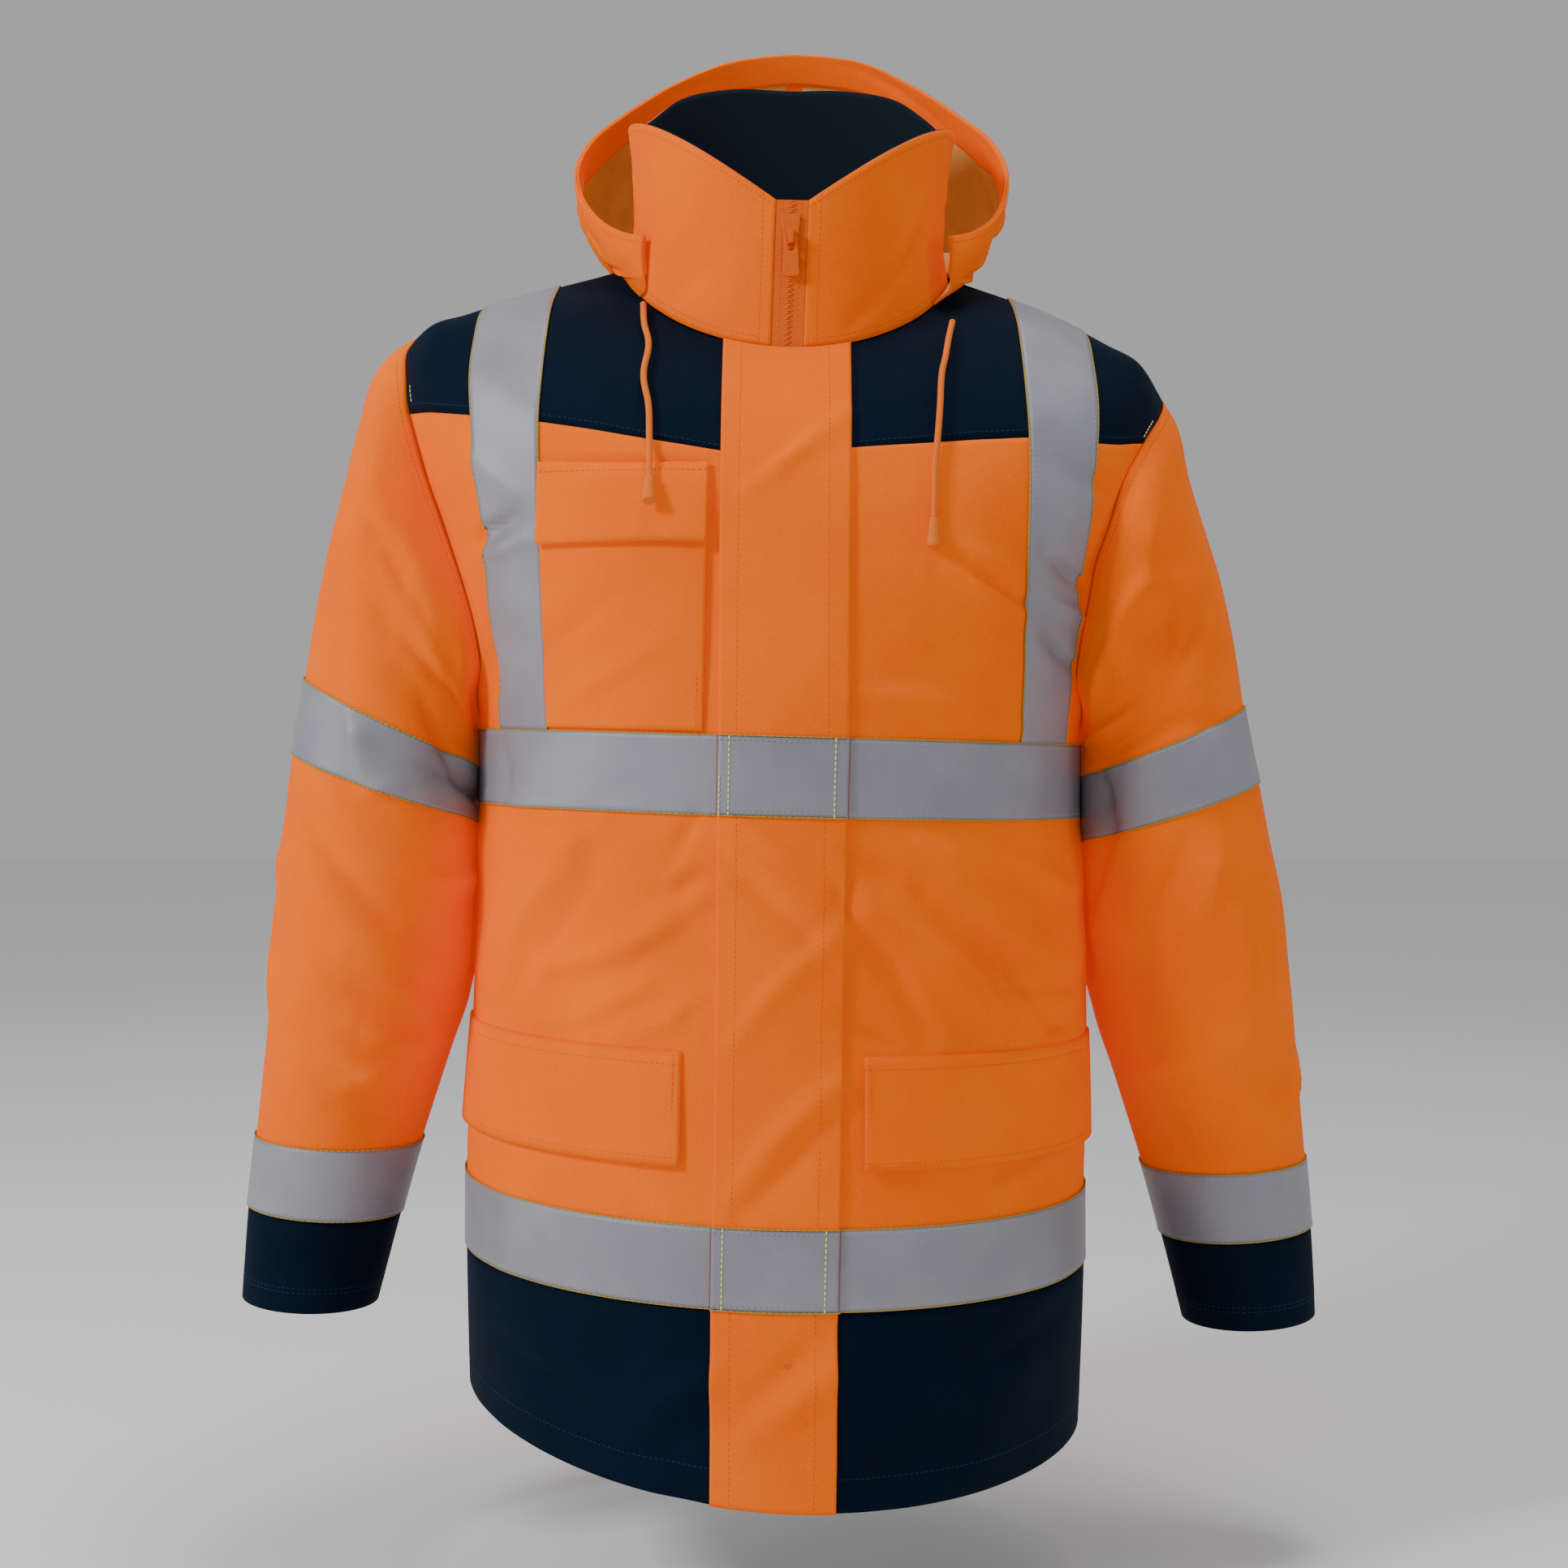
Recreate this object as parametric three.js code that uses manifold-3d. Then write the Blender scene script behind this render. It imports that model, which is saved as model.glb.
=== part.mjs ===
// Hooded hi-vis work jacket, filled out as when it is worn, in millimetres.
// The front faces -Y, the wearer's left is +X and up is +Z.
// The origin is on the neck's centre line, level with the sides of the neck seam.
import * as THREE from 'three';
import { mergeVertices } from 'three/addons/utils/BufferGeometryUtils.js';
import Module from 'manifold-3d';

const wasm = await Module();
wasm.setup();

// Thicknesses and gaps
const CLOTH = 1.8;          // quilted shell fabric
const TAPE = 1.0;           // reflective tape
const PLACKET = 2.5;        // storm placket of two layers
const POCKET = 1.7;         // pocket bag and flap fabric
const FACING = 1.2;         // turned hem inside the hood's rim
const LAY = 0.3;            // gap under a piece that lies on another
const SEAM = 0.2;           // each piece stops this far short of its seam line

const DEGREE = Math.PI / 180;
const QUARTER = Math.PI / 2;
const SIDES = { right: -1, left: 1 };

const COLOURS = {
  orange: { color: 0xff6a10, roughness: 0.62, metalness: 0 },
  navy: { color: 0x0a2038, roughness: 0.6, metalness: 0 },
  lining: { color: 0x0a1a2c, roughness: 0.9, metalness: 0 },
  tape: { color: 0x92929c, roughness: 0.45, metalness: 0.2 },
  zip: { color: 0xf26a14, roughness: 0.5, metalness: 0 },
  cord: { color: 0xe87420, roughness: 0.75, metalness: 0 },
};

// Body sections from the neck seam down to the hem. Each is a ring around the wearer:
// its half width and centre, how far it reaches to the front and back, its height at the
// front, sides and back, how soon the height falls from the side to the ends, and its tilt.
const MIDDLE_Y = -5;
const BODY = [
  { halfWidth: 113, centreX: 2, frontY: -122, backY: 72, frontZ: -68, sideZ: 5, backZ: 50, tilt: -0.03, power: 1.2 },
  { halfWidth: 160, centreX: 1, frontY: -146, backY: 108, frontZ: -100, sideZ: -8, backZ: 18, tilt: -0.03, power: 1.5 },
  { halfWidth: 212, centreX: 0, frontY: -163, backY: 134, frontZ: -137, sideZ: -27, backZ: -35, tilt: -0.04, power: 1.8 },
  { halfWidth: 258, centreX: 0, frontY: -174, backY: 148, frontZ: -172, sideZ: -53, backZ: -85, tilt: -0.055, power: 2 },
  { halfWidth: 266, centreX: 0, frontY: -180, backY: 157, frontZ: -205, sideZ: -100, backZ: -130, tilt: -0.05, power: 2 },
  { halfWidth: 246, centreX: 0, frontY: -185, backY: 163, frontZ: -240, sideZ: -172, backZ: -185, tilt: -0.04, power: 2 },
  { halfWidth: 224, centreX: -2, frontY: -189, backY: 166, frontZ: -280, sideZ: -245, backZ: -245, tilt: -0.03, power: 2 },
  { halfWidth: 209, centreX: -3, frontY: -191, backY: 168, frontZ: -319, sideZ: -319, backZ: -319, tilt: -0.027, power: 2 },
  { halfWidth: 209, centreX: -3, frontY: -191, backY: 167, frontZ: -369, sideZ: -369, backZ: -369, tilt: -0.027, power: 2 },
  { halfWidth: 212, centreX: -2, frontY: -190, backY: 164, frontZ: -450, sideZ: -450, backZ: -450, tilt: -0.027, power: 2 },
  { halfWidth: 214, centreX: -3, frontY: -191, backY: 163, frontZ: -516, sideZ: -516, backZ: -516, tilt: -0.027, power: 2 },
  { halfWidth: 215, centreX: -5, frontY: -195, backY: 165, frontZ: -586, sideZ: -586, backZ: -586, tilt: -0.027, power: 2 },
  { halfWidth: 215, centreX: -6, frontY: -198, backY: 167, frontZ: -621, sideZ: -621, backZ: -621, tilt: -0.027, power: 2 },
  { halfWidth: 215, centreX: -6, frontY: -201, backY: 169, frontZ: -671, sideZ: -671, backZ: -671, tilt: -0.027, power: 2 },
  { halfWidth: 212, centreX: -7, frontY: -200, backY: 170, frontZ: -794, sideZ: -775, backZ: -790, tilt: -0.07, power: 2 },
];
const CHEST = 7;
const HEM_TAPE_END = 13;
const HEM = 14;
const ROW_TILT = -0.027;

// Armhole edges from the shoulder to the armpit, as angles from the front or back centre
const ARMHOLE = [
  { rightFront: 90, leftFront: 90, back: 90 },
  { rightFront: 79, leftFront: 67, back: 79 },
  { rightFront: 73, leftFront: 57, back: 72 },
  { rightFront: 71.5, leftFront: 57, back: 69 },
  { rightFront: 70, leftFront: 58, back: 67 },
  { rightFront: 67.5, leftFront: 60, back: 65.5 },
  { rightFront: 66, leftFront: 62.5, back: 65.5 },
  { rightFront: 69, leftFront: 68, back: 69 },
  { rightFront: 90, leftFront: 90, back: 90 },
];
const ARMHOLE_TOP = { right: 3.0, left: 3.3 };
const ARMHOLE_FOOT = 6.95;

// Lines down the body that pieces end at, as distances from the centre line
const LINE_LEVELS = [0, 3, 7, 14];
const FRONT_LINES = [
  { name: 'zip', reach: [10.5, 10.5, 10.5, 10.5], drift: 1 },
  { name: 'placket middle', reach: [26, 26, 26, 25], drift: 1 },
  { name: 'placket', reach: [41.5, 41, 40, 38.5], drift: 1 },
  { name: 'chest pocket', reach: [49, 48, 50, 50], drift: 0.7 },
  { name: 'lower flap', reach: [60, 60, 60, 62], drift: 0.5 },
  { name: 'chest', reach: [84, 80, 78, 80], drift: 0.2 },
  { name: 'chest outer', reach: [107.5, 107, 105, 108], drift: 0 },
  { name: 'neck side', reach: [113, 123, 121, 124], drift: 0 },
  { name: 'beside brace', reach: [135, 140, 137, 138], drift: 0 },
  { name: 'brace inner', reach: [157, 157, 151, 151], drift: 0 },
  { name: 'brace middle', reach: [183, 182, 169, 169], drift: 0 },
  { name: 'brace outer', reach: [209, 206, 187, 187], drift: 0 },
];
const BACK_LINES = [
  { name: 'centre', reach: [0, 0, 0, 0], drift: 0 },
  { name: 'inner', reach: [42, 42, 42, 42], drift: 0 },
  { name: 'blade outer', reach: [80, 80, 82, 82], drift: 0 },
  { name: 'side of neck', reach: [100, 103, 105, 105], drift: 0 },
  { name: 'neck side', reach: [113, 123, 128, 128], drift: 0 },
  { name: 'brace inner', reach: [157, 157, 153, 153], drift: 0 },
  { name: 'brace middle', reach: [183, 182, 173, 173], drift: 0 },
  { name: 'brace outer', reach: [209, 206, 191, 191], drift: 0 },
];
const SIDE_CELLS = 3;
const PLACKET_DRIFT = [2, 1, 0, -7];

// Rows down the body: the height of each line where it crosses the front centre
const YOKE_CELLS = 4;
const ROWS = [
  { name: 'pocket top', z: -149, cells: 1 },
  { name: 'pocket flap end', z: -201, cells: 2 },
  { name: 'chest tape top', z: -319, cells: 5 },
  { name: 'chest tape end', z: -369, cells: 2 },
  { name: 'lower flap top', z: -516, cells: 5 },
  { name: 'lower flap end', z: -586, cells: 2 },
  { name: 'hem tape top', z: -621, cells: 1 },
  { name: 'hem tape end', z: -671, cells: 2 },
];
const HEM_CELLS = 3;
const BACK_YOKE_Z = -128;
const UPPER_CELLS = 8;
const FRONT_YOKE_REACH = [10, 42, 158, 213, 256];
const FRONT_YOKE_Z = { right: [-141, -139, -117, -108, -100], left: [-138, -137, -127, -128, -124] };

// Large folds of the body: a soft ridge or trough between two points of the front or back view
const BODY_FOLDS = [
  { half: 'front', x1: -205, z1: -392, x2: -95, z2: -462, width: 15, depth: 3.5 },
  { half: 'front', x1: -190, z1: -440, x2: -60, z2: -500, width: 14, depth: 3 },
  { half: 'front', x1: -200, z1: -475, x2: -120, z2: -505, width: 11, depth: 2.5 },
  { half: 'front', x1: -90, z1: -395, x2: -50, z2: -440, width: 12, depth: -2.5 },
  { half: 'front', x1: 205, z1: -400, x2: 100, z2: -462, width: 15, depth: 3.5 },
  { half: 'front', x1: 140, z1: -385, x2: 50, z2: -430, width: 13, depth: 3 },
  { half: 'front', x1: 195, z1: -455, x2: 110, z2: -500, width: 13, depth: 3 },
  { half: 'front', x1: 150, z1: -470, x2: 60, z2: -475, width: 12, depth: -2.5 },
  { half: 'front', x1: 120, z1: -175, x2: 150, z2: -300, width: 16, depth: 3 },
  { half: 'front', x1: 60, z1: -250, x2: 130, z2: -290, width: 14, depth: -2 },
  { half: 'front', x1: -175, z1: -700, x2: -90, z2: -760, width: 15, depth: 3.5 },
  { half: 'front', x1: -120, z1: -690, x2: -60, z2: -785, width: 13, depth: -3 },
  { half: 'front', x1: 165, z1: -690, x2: 120, z2: -775, width: 15, depth: 3.5 },
  { half: 'front', x1: 80, z1: -700, x2: 60, z2: -780, width: 14, depth: -3 },
  { half: 'front', x1: -200, z1: -180, x2: -178, z2: -205, width: 9, depth: -4 },
  { half: 'front', x1: 205, z1: -205, x2: 165, z2: -250, width: 11, depth: -4 },
  { half: 'back', x1: -180, z1: -180, x2: -70, z2: -290, width: 17, depth: 4 },
  { half: 'back', x1: 175, z1: -170, x2: 80, z2: -280, width: 17, depth: 4 },
  { half: 'back', x1: -60, z1: -150, x2: 70, z2: -165, width: 15, depth: -3 },
  { half: 'back', x1: -190, z1: -400, x2: -40, z2: -470, width: 17, depth: 4.5 },
  { half: 'back', x1: 190, z1: -410, x2: 50, z2: -455, width: 16, depth: 4 },
  { half: 'back', x1: -150, z1: -520, x2: 60, z2: -560, width: 18, depth: -3.5 },
  { half: 'back', x1: 170, z1: -500, x2: 90, z2: -590, width: 15, depth: 4 },
  { half: 'back', x1: -120, z1: -690, x2: -90, z2: -785, width: 17, depth: 4 },
  { half: 'back', x1: 30, z1: -700, x2: 45, z2: -785, width: 16, depth: -4 },
  { half: 'back', x1: 140, z1: -690, x2: 150, z2: -780, width: 15, depth: 3.5 },
];

// Sleeve rings from the armhole to the cuff. Each is an oval from its outer to its inner
// point, as deep to the front and back as stated.
const SLEEVE = [
  { outX: 262, outZ: -52, inX: 206, inZ: -319, depth: 64, centreY: -5 },
  { outX: 282, outZ: -66, inX: 207, inZ: -325, depth: 73, centreY: -6 },
  { outX: 294, outZ: -102, inX: 206, inZ: -328, depth: 79, centreY: -8 },
  { outX: 303, outZ: -138, inX: 204, inZ: -331, depth: 84, centreY: -9 },
  { outX: 315, outZ: -184, inX: 202, inZ: -334, depth: 88, centreY: -10 },
  { outX: 325, outZ: -232, inX: 200, inZ: -337, depth: 90, centreY: -11 },
  { outX: 332, outZ: -277, inX: 198, inZ: -341, depth: 91, centreY: -12 },
  { outX: 341, outZ: -329, inX: 198, inZ: -379, depth: 89, centreY: -12 },
  { outX: 348, outZ: -385, inX: 200, inZ: -418, depth: 86, centreY: -11 },
  { outX: 354, outZ: -445, inX: 207, inZ: -462, depth: 81, centreY: -9 },
  { outX: 358, outZ: -500, inX: 224, inZ: -508, depth: 75, centreY: -8 },
  { outX: 363, outZ: -548, inX: 239, inZ: -553, depth: 67, centreY: -8 },
  { outX: 368, outZ: -594, inX: 254, inZ: -600, depth: 60, centreY: -9 },
  { outX: 373, outZ: -642, inX: 268, inZ: -650, depth: 54, centreY: -11 },
  { outX: 377, outZ: -706, inX: 284, inZ: -712, depth: 49, centreY: -14 },
];
const SLEEVE_ROWS = [
  { name: 'upper tape top', ring: 6, cells: 6 },
  { name: 'upper tape end', ring: 7, cells: 2 },
  { name: 'lower tape top', ring: 12, cells: 7 },
  { name: 'lower tape end', ring: 13, cells: 2 },
  { name: 'cuff end', ring: 14, cells: 2 },
];
const SLEEVE_POSE = {
  right: { drop: 0, tuck: 0, back: 0 },
  left: { drop: 20, tuck: 13, back: 30 },
};
const ARM_GAP = 5;          // the sleeve hangs this far off the body's side
const HEAD_GAP = 0.6;       // between the armhole's edge and the sleeve's first ring

// Large folds of the sleeves, between two places given as ring and angle from the outer edge
// towards the front
const SLEEVE_FOLDS = [
  { ring1: 1.6, turn1: 95, ring2: 4.2, turn2: 130, width: 15, depth: 4 },
  { ring1: 2.6, turn1: 60, ring2: 4.8, turn2: 100, width: 14, depth: -3 },
  { ring1: 3.4, turn1: 20, ring2: 4.6, turn2: 70, width: 14, depth: 3 },
  { ring1: 8.4, turn1: 20, ring2: 9.3, turn2: 95, width: 12, depth: 3.5 },
  { ring1: 9.1, turn1: 150, ring2: 9.9, turn2: 60, width: 12, depth: -3.5 },
  { ring1: 9.6, turn1: 30, ring2: 10.4, turn2: 110, width: 12, depth: 3.5 },
  { ring1: 10.6, turn1: 140, ring2: 11.3, turn2: 50, width: 12, depth: 3 },
  { ring1: 1.8, turn1: 240, ring2: 4.4, turn2: 215, width: 16, depth: 4 },
  { ring1: 8.6, turn1: 220, ring2: 9.5, turn2: 300, width: 13, depth: 4 },
  { ring1: 9.7, turn1: 230, ring2: 10.5, turn2: 310, width: 12, depth: -3 },
];

// Stand collar: the ring along its top edge, straight down to the zip at the front, drawn in
// at the sides halfway up
const COLLAR_TOP = {
  halfWidth: 114.5, centreX: 5.5, frontY: -127, backY: 82, frontZ: 20, sideZ: 103, backZ: 160, tilt: -0.02,
};
const COLLAR_LIFT = 1.2;
const COLLAR_WAIST = 7;
const COLLAR_CELLS = 4;
const LINING = 2.0;

// Hood, turned back behind the collar. Going round from the front, each station gives a
// profile from the neck seam down to the bag's foot, out to its bulge and up to the rim, how far
// it is shifted to the left, and how wide the facing is there.
const HOOD_CENTRE_Y = -10;
const HOOD = [
  { turn: 60, shift: 9, innerR: 119.5, innerZ: -19, footR: 120, footZ: -9,
    bulgeR: 121, bulgeZ: 4, rimR: 120, rimZ: 18, facing: 26 },
  { turn: 69, shift: 9, innerR: 122, innerZ: -11, footR: 124, footZ: -2,
    bulgeR: 128, bulgeZ: 10, rimR: 126, rimZ: 24, facing: 28 },
  { turn: 80, shift: 8, innerR: 124, innerZ: 2, footR: 129, footZ: 10,
    bulgeR: 136, bulgeZ: 22, rimR: 141, rimZ: 38, facing: 32 },
  { turn: 93, shift: 6, innerR: 126, innerZ: 16, footR: 134, footZ: 26,
    bulgeR: 147, bulgeZ: 44, rimR: 152, rimZ: 66, facing: 36 },
  { turn: 108, shift: 5, innerR: 130, innerZ: 27, footR: 143, footZ: 32,
    bulgeR: 161, bulgeZ: 62, rimR: 161, rimZ: 104, facing: 36 },
  { turn: 125, shift: 5, innerR: 132, innerZ: 37, footR: 157, footZ: 24,
    bulgeR: 184, bulgeZ: 70, rimR: 160, rimZ: 140, facing: 30 },
  { turn: 143, shift: 6, innerR: 134, innerZ: 34, footR: 172, footZ: -16,
    bulgeR: 208, bulgeZ: 56, rimR: 153, rimZ: 175, facing: 25 },
  { turn: 162, shift: 8, innerR: 136, innerZ: 28, footR: 187, footZ: -52,
    bulgeR: 224, bulgeZ: 50, rimR: 147, rimZ: 200, facing: 23 },
  { turn: 180, shift: 8, innerR: 137, innerZ: 28, footR: 191, footZ: -64,
    bulgeR: 229, bulgeZ: 50, rimR: 145, rimZ: 206, facing: 22 },
];
const HOOD_STAND = 2.2;
const STRIP_START = 7.72;
const HOOD_COLUMNS = 9;
const BAG_ROWS = 8;
const FACING_ROWS = 2;
const HOOD_ROWS = BAG_ROWS + FACING_ROWS;

const clamp = (value, low, high) => Math.min(Math.max(value, low), high);
const mix = (a, b, t) => a + (b - a) * t;

function smoothstep(low, high, value) {
  const t = clamp((value - low) / (high - low), 0, 1);
  return t * t * (3 - 2 * t);
}

// Smooth curve through one column of a table that never overshoots its values
function curve(values, position) {
  const last = values.length - 1;
  const start = clamp(Math.floor(position), 0, last - 1);
  const t = position - start;
  const at = (index) => values[clamp(index, 0, last)];
  const slope = (before, here, after) => {
    if ((here - before) * (after - here) <= 0) return 0;
    const steepest = 3 * Math.min(Math.abs(here - before), Math.abs(after - here));
    return clamp((after - before) / 2, -steepest, steepest);
  };
  const from = slope(at(start - 1), at(start), at(start + 1));
  const to = slope(at(start), at(start + 1), at(start + 2));
  const rise = at(start + 1) - at(start);
  return at(start) + t * (from + t * (3 * rise - 2 * from - to + t * (from + to - 2 * rise)));
}

const column = (table, key) => table.map((row) => row[key]);
const tableColumns = new Map();
function read(table, key, position) {
  if (!tableColumns.has(table)) tableColumns.set(table, {});
  const columns = tableColumns.get(table);
  columns[key] ??= column(table, key);
  return curve(columns[key], position);
}

// Value at a level from entries that stand at LINE_LEVELS
function atLevel(values, level) {
  const index = LINE_LEVELS.findIndex((end, place) => place > 0 && level <= end);
  const place = index < 0 ? LINE_LEVELS.length - 1 : index;
  const low = LINE_LEVELS[place - 1];
  const share = clamp((level - low) / (LINE_LEVELS[place] - low), 0, 1);
  return mix(values[place - 1], values[place], share);
}

// Point of the smooth body surface; angle 0 is the front centre, 90 degrees the wearer's left
function bodyPoint(angle, level) {
  const get = (key) => read(BODY, key, level);
  const across = Math.sin(angle);
  const along = Math.cos(angle);
  const end = along > 0 ? 'front' : 'back';
  const x = get('centreX') + get('halfWidth') * across;
  const y = MIDDLE_Y + (get(end + 'Y') - MIDDLE_Y) * Math.abs(along);
  const fall = Math.abs(along) ** get('power');
  const z = mix(get('sideZ'), get(end + 'Z'), fall) + get('tilt') * x;
  return new THREE.Vector3(x, y, z);
}

function bodyNormal(angle, level) {
  const step = 0.01;
  const low = Math.max(level - step, 0);
  const high = Math.min(level + step, HEM);
  const around = bodyPoint(angle + step, level).sub(bodyPoint(angle - step, level));
  const down = bodyPoint(angle, high).sub(bodyPoint(angle, low));
  return down.cross(around).normalize();
}

const armholeKey = (half, side) => (half === 'back' ? 'back' : side + 'Front');

function armholeAngle(half, side, level) {
  const top = ARMHOLE_TOP[side];
  const share = clamp((level - top) / (ARMHOLE_FOOT - top), 0, 1);
  return read(ARMHOLE, armholeKey(half, side), share * (ARMHOLE.length - 1)) * DEGREE;
}

// Angle from the front or back centre at which a line down the body stands at a level
function reachAngle(side, reach, level) {
  const offset = reach - SIDES[side] * read(BODY, 'centreX', level);
  return Math.asin(clamp(offset / read(BODY, 'halfWidth', level), -1, 1));
}

function lineReach(half, side, index, level) {
  const lines = half === 'front' ? FRONT_LINES : BACK_LINES;
  const line = lines[Math.min(index, lines.length - 1)];
  const reach = atLevel(line.reach, level) + SIDES[side] * line.drift * atLevel(PLACKET_DRIFT, level);
  if (index < lines.length) return reach;
  const share = (index - lines.length + 1) / SIDE_CELLS;
  const edge = level < ARMHOLE_TOP[side]
    ? edgeReach(side, ARMHOLE_TOP[side])
    : SIDES[side] * read(BODY, 'centreX', level)
      + read(BODY, 'halfWidth', level) * Math.sin(armholeAngle(half, side, level));
  return mix(reach, edge, share);
}

function edgeReach(side, level) {
  return read(BODY, 'halfWidth', level) + SIDES[side] * read(BODY, 'centreX', level);
}

function lineAngle(half, side, index, level) {
  const lines = half === 'front' ? FRONT_LINES : BACK_LINES;
  const byReach = reachAngle(side, lineReach(half, side, index, level), level);
  let angle = byReach;
  if (index >= lines.length) {
    const share = (index - lines.length + 1) / SIDE_CELLS;
    const inner = reachAngle(side, lineReach(half, side, lines.length - 1, level), level);
    const outer = level >= ARMHOLE_FOOT ? QUARTER : armholeAngle(half, side, level);
    const even = mix(inner, outer, share);
    angle = mix(byReach, even, smoothstep(5.5, 7, level));
    if (share === 1 && level >= ARMHOLE_TOP[side]) angle = outer;
  }
  return SIDES[side] * (half === 'front' ? angle : Math.PI - angle);
}

// Level between two others at which a falling measure reaches a target
function solve(measure, target, low, high) {
  for (let turn = 0; turn < 30; turn += 1) {
    const middle = (low + high) / 2;
    if (measure(middle) > target) low = middle;
    else high = middle;
  }
  return (low + high) / 2;
}

// Level at which a line starts: the neck seam, or the shoulder line outside the neck
function topLevel(half, side, index) {
  const spare = (level) => lineReach(half, side, index, level) - edgeReach(side, level);
  return spare(0) < 0.01 ? 0 : solve(spare, 0, 0, ARMHOLE_TOP[side]);
}

function levelAtHeight(half, side, index, z) {
  const height = (level) => {
    const point = bodyPoint(lineAngle(half, side, index, level), level);
    return point.z - ROW_TILT * point.x;
  };
  return solve(height, z, topLevel(half, side, index), HEM);
}

function yokeHeight(half, side, index) {
  if (half === 'back') return BACK_YOKE_Z;
  const reach = lineReach(half, side, index, 3.5);
  const heights = FRONT_YOKE_Z[side];
  const found = FRONT_YOKE_REACH.findIndex((end) => reach < end);
  const place = clamp(found < 0 ? heights.length - 1 : found, 1, heights.length - 1);
  const low = FRONT_YOKE_REACH[place - 1];
  const share = clamp((reach - low) / (FRONT_YOKE_REACH[place] - low), 0, 1);
  return mix(heights[place - 1], heights[place], share) - ROW_TILT * SIDES[side] * reach;
}

// Levels of all rows on one line, from its top to the hem
function rowLevels(half, side, index) {
  const top = topLevel(half, side, index);
  let last = levelAtHeight(half, side, index, yokeHeight(half, side, index));
  const levels = [];
  for (let row = 0; row <= YOKE_CELLS; row += 1) levels.push(mix(top, last, (row / YOKE_CELLS) ** 1.6));
  let height = yokeHeight(half, side, index);
  for (const { z, cells, name } of ROWS) {
    if (half === 'back' && levels.length < YOKE_CELLS + UPPER_CELLS && name !== 'chest tape top') continue;
    const steps = half === 'back' && name === 'chest tape top' ? UPPER_CELLS : cells;
    for (let step = 1; step <= steps; step += 1) {
      levels.push(levelAtHeight(half, side, index, mix(height, z, step / steps)));
    }
    height = z;
  }
  last = levels[levels.length - 1];
  for (let step = 1; step <= HEM_CELLS; step += 1) levels.push(mix(last, HEM, step / HEM_CELLS));
  return levels;
}

// How far a list of folds raises a flat point: each is a soft ridge along a straight stroke
function foldHeight(x, z, folds) {
  let height = 0;
  for (const { x1, z1, x2, z2, width, depth } of folds) {
    const [dx, dz] = [x2 - x1, z2 - z1];
    const share = ((x - x1) * dx + (z - z1) * dz) / (dx * dx + dz * dz);
    const along = clamp(share, 0, 1);
    const away = Math.hypot(x - x1 - along * dx, z - z1 - along * dz);
    const fade = 0.35 + 0.65 * Math.sin(Math.PI * clamp(share, 0.12, 0.88));
    height += depth * fade * Math.exp(-((away / width) ** 2));
  }
  return height;
}

function bodyVertex(half, angle, level) {
  const point = bodyPoint(angle, level);
  const normal = bodyNormal(angle, level);
  const lift = foldHeight(point.x, point.z, BODY_FOLDS.filter((fold) => fold.half === half));
  return { point: point.addScaledVector(normal, lift), normal };
}

// Grid of one half front or back: rows from the neck to the hem, columns from centre to side
function bodyHalf(half, side) {
  const count = (half === 'front' ? FRONT_LINES : BACK_LINES).length + SIDE_CELLS;
  const columns = Array.from({ length: count }, (_, index) => rowLevels(half, side, index)
    .map((level) => bodyVertex(half, lineAngle(half, side, index, level), level)));
  return columns[0].map((_, row) => columns.map((line) => line[row]));
}

const body = {};
for (const half of ['front', 'back']) {
  for (const side of ['right', 'left']) body[half + side] = bodyHalf(half, side);
}

const SIDE_COLUMN = { front: FRONT_LINES.length + SIDE_CELLS - 1, back: BACK_LINES.length + SIDE_CELLS - 1 };
const lineIndex = (lines, name) => lines.findIndex((line) => line.name === name);
const rowIndex = { yoke: YOKE_CELLS };
ROWS.reduce((row, { name, cells }) => (rowIndex[name] = row + cells), YOKE_CELLS);
rowIndex.hem = rowIndex['hem tape end'] + HEM_CELLS;

const take = (grid, [top, bottom], [from, to]) => grid.slice(top, bottom + 1).map((row) => row.slice(from, to + 1));
const turned = (grid) => grid.map((row) => [...row].reverse());
const beside = (first, second) => first.map((row, index) => [...row, ...second[index]]);
const below = (first, second) => [...first, ...second];

// Moves the points of one edge of a grid towards their neighbours
function inset(grid, edges) {
  const copy = grid.map((row) => row.map(({ point, normal }) => ({ point: point.clone(), normal })));
  const pull = (cell, towards, distance) => {
    const way = towards.point.clone().sub(cell.point);
    cell.point.add(way.setLength(Math.min(distance, way.length() * 0.6)));
  };
  const lastRow = grid.length - 1;
  const lastColumn = grid[0].length - 1;
  for (let row = 0; row <= lastRow; row += 1) {
    if (edges.from) pull(copy[row][0], grid[row][1], edges.from);
    if (edges.to) pull(copy[row][lastColumn], grid[row][lastColumn - 1], edges.to);
  }
  for (let index = 0; index <= lastColumn; index += 1) {
    const top = typeof edges.top === 'function' ? edges.top(index) : edges.top;
    if (top) pull(copy[0][index], grid[1][index], top);
    if (edges.bottom) pull(copy[lastRow][index], grid[lastRow - 1][index], edges.bottom);
  }
  return copy;
}

function signedVolume(positions, index) {
  const corner = (place) => new THREE.Vector3().fromArray(positions, index[place] * 3);
  let volume = 0;
  for (let face = 0; face < index.length; face += 3) {
    volume += corner(face).dot(corner(face + 1).cross(corner(face + 2))) / 6;
  }
  return volume;
}

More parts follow.
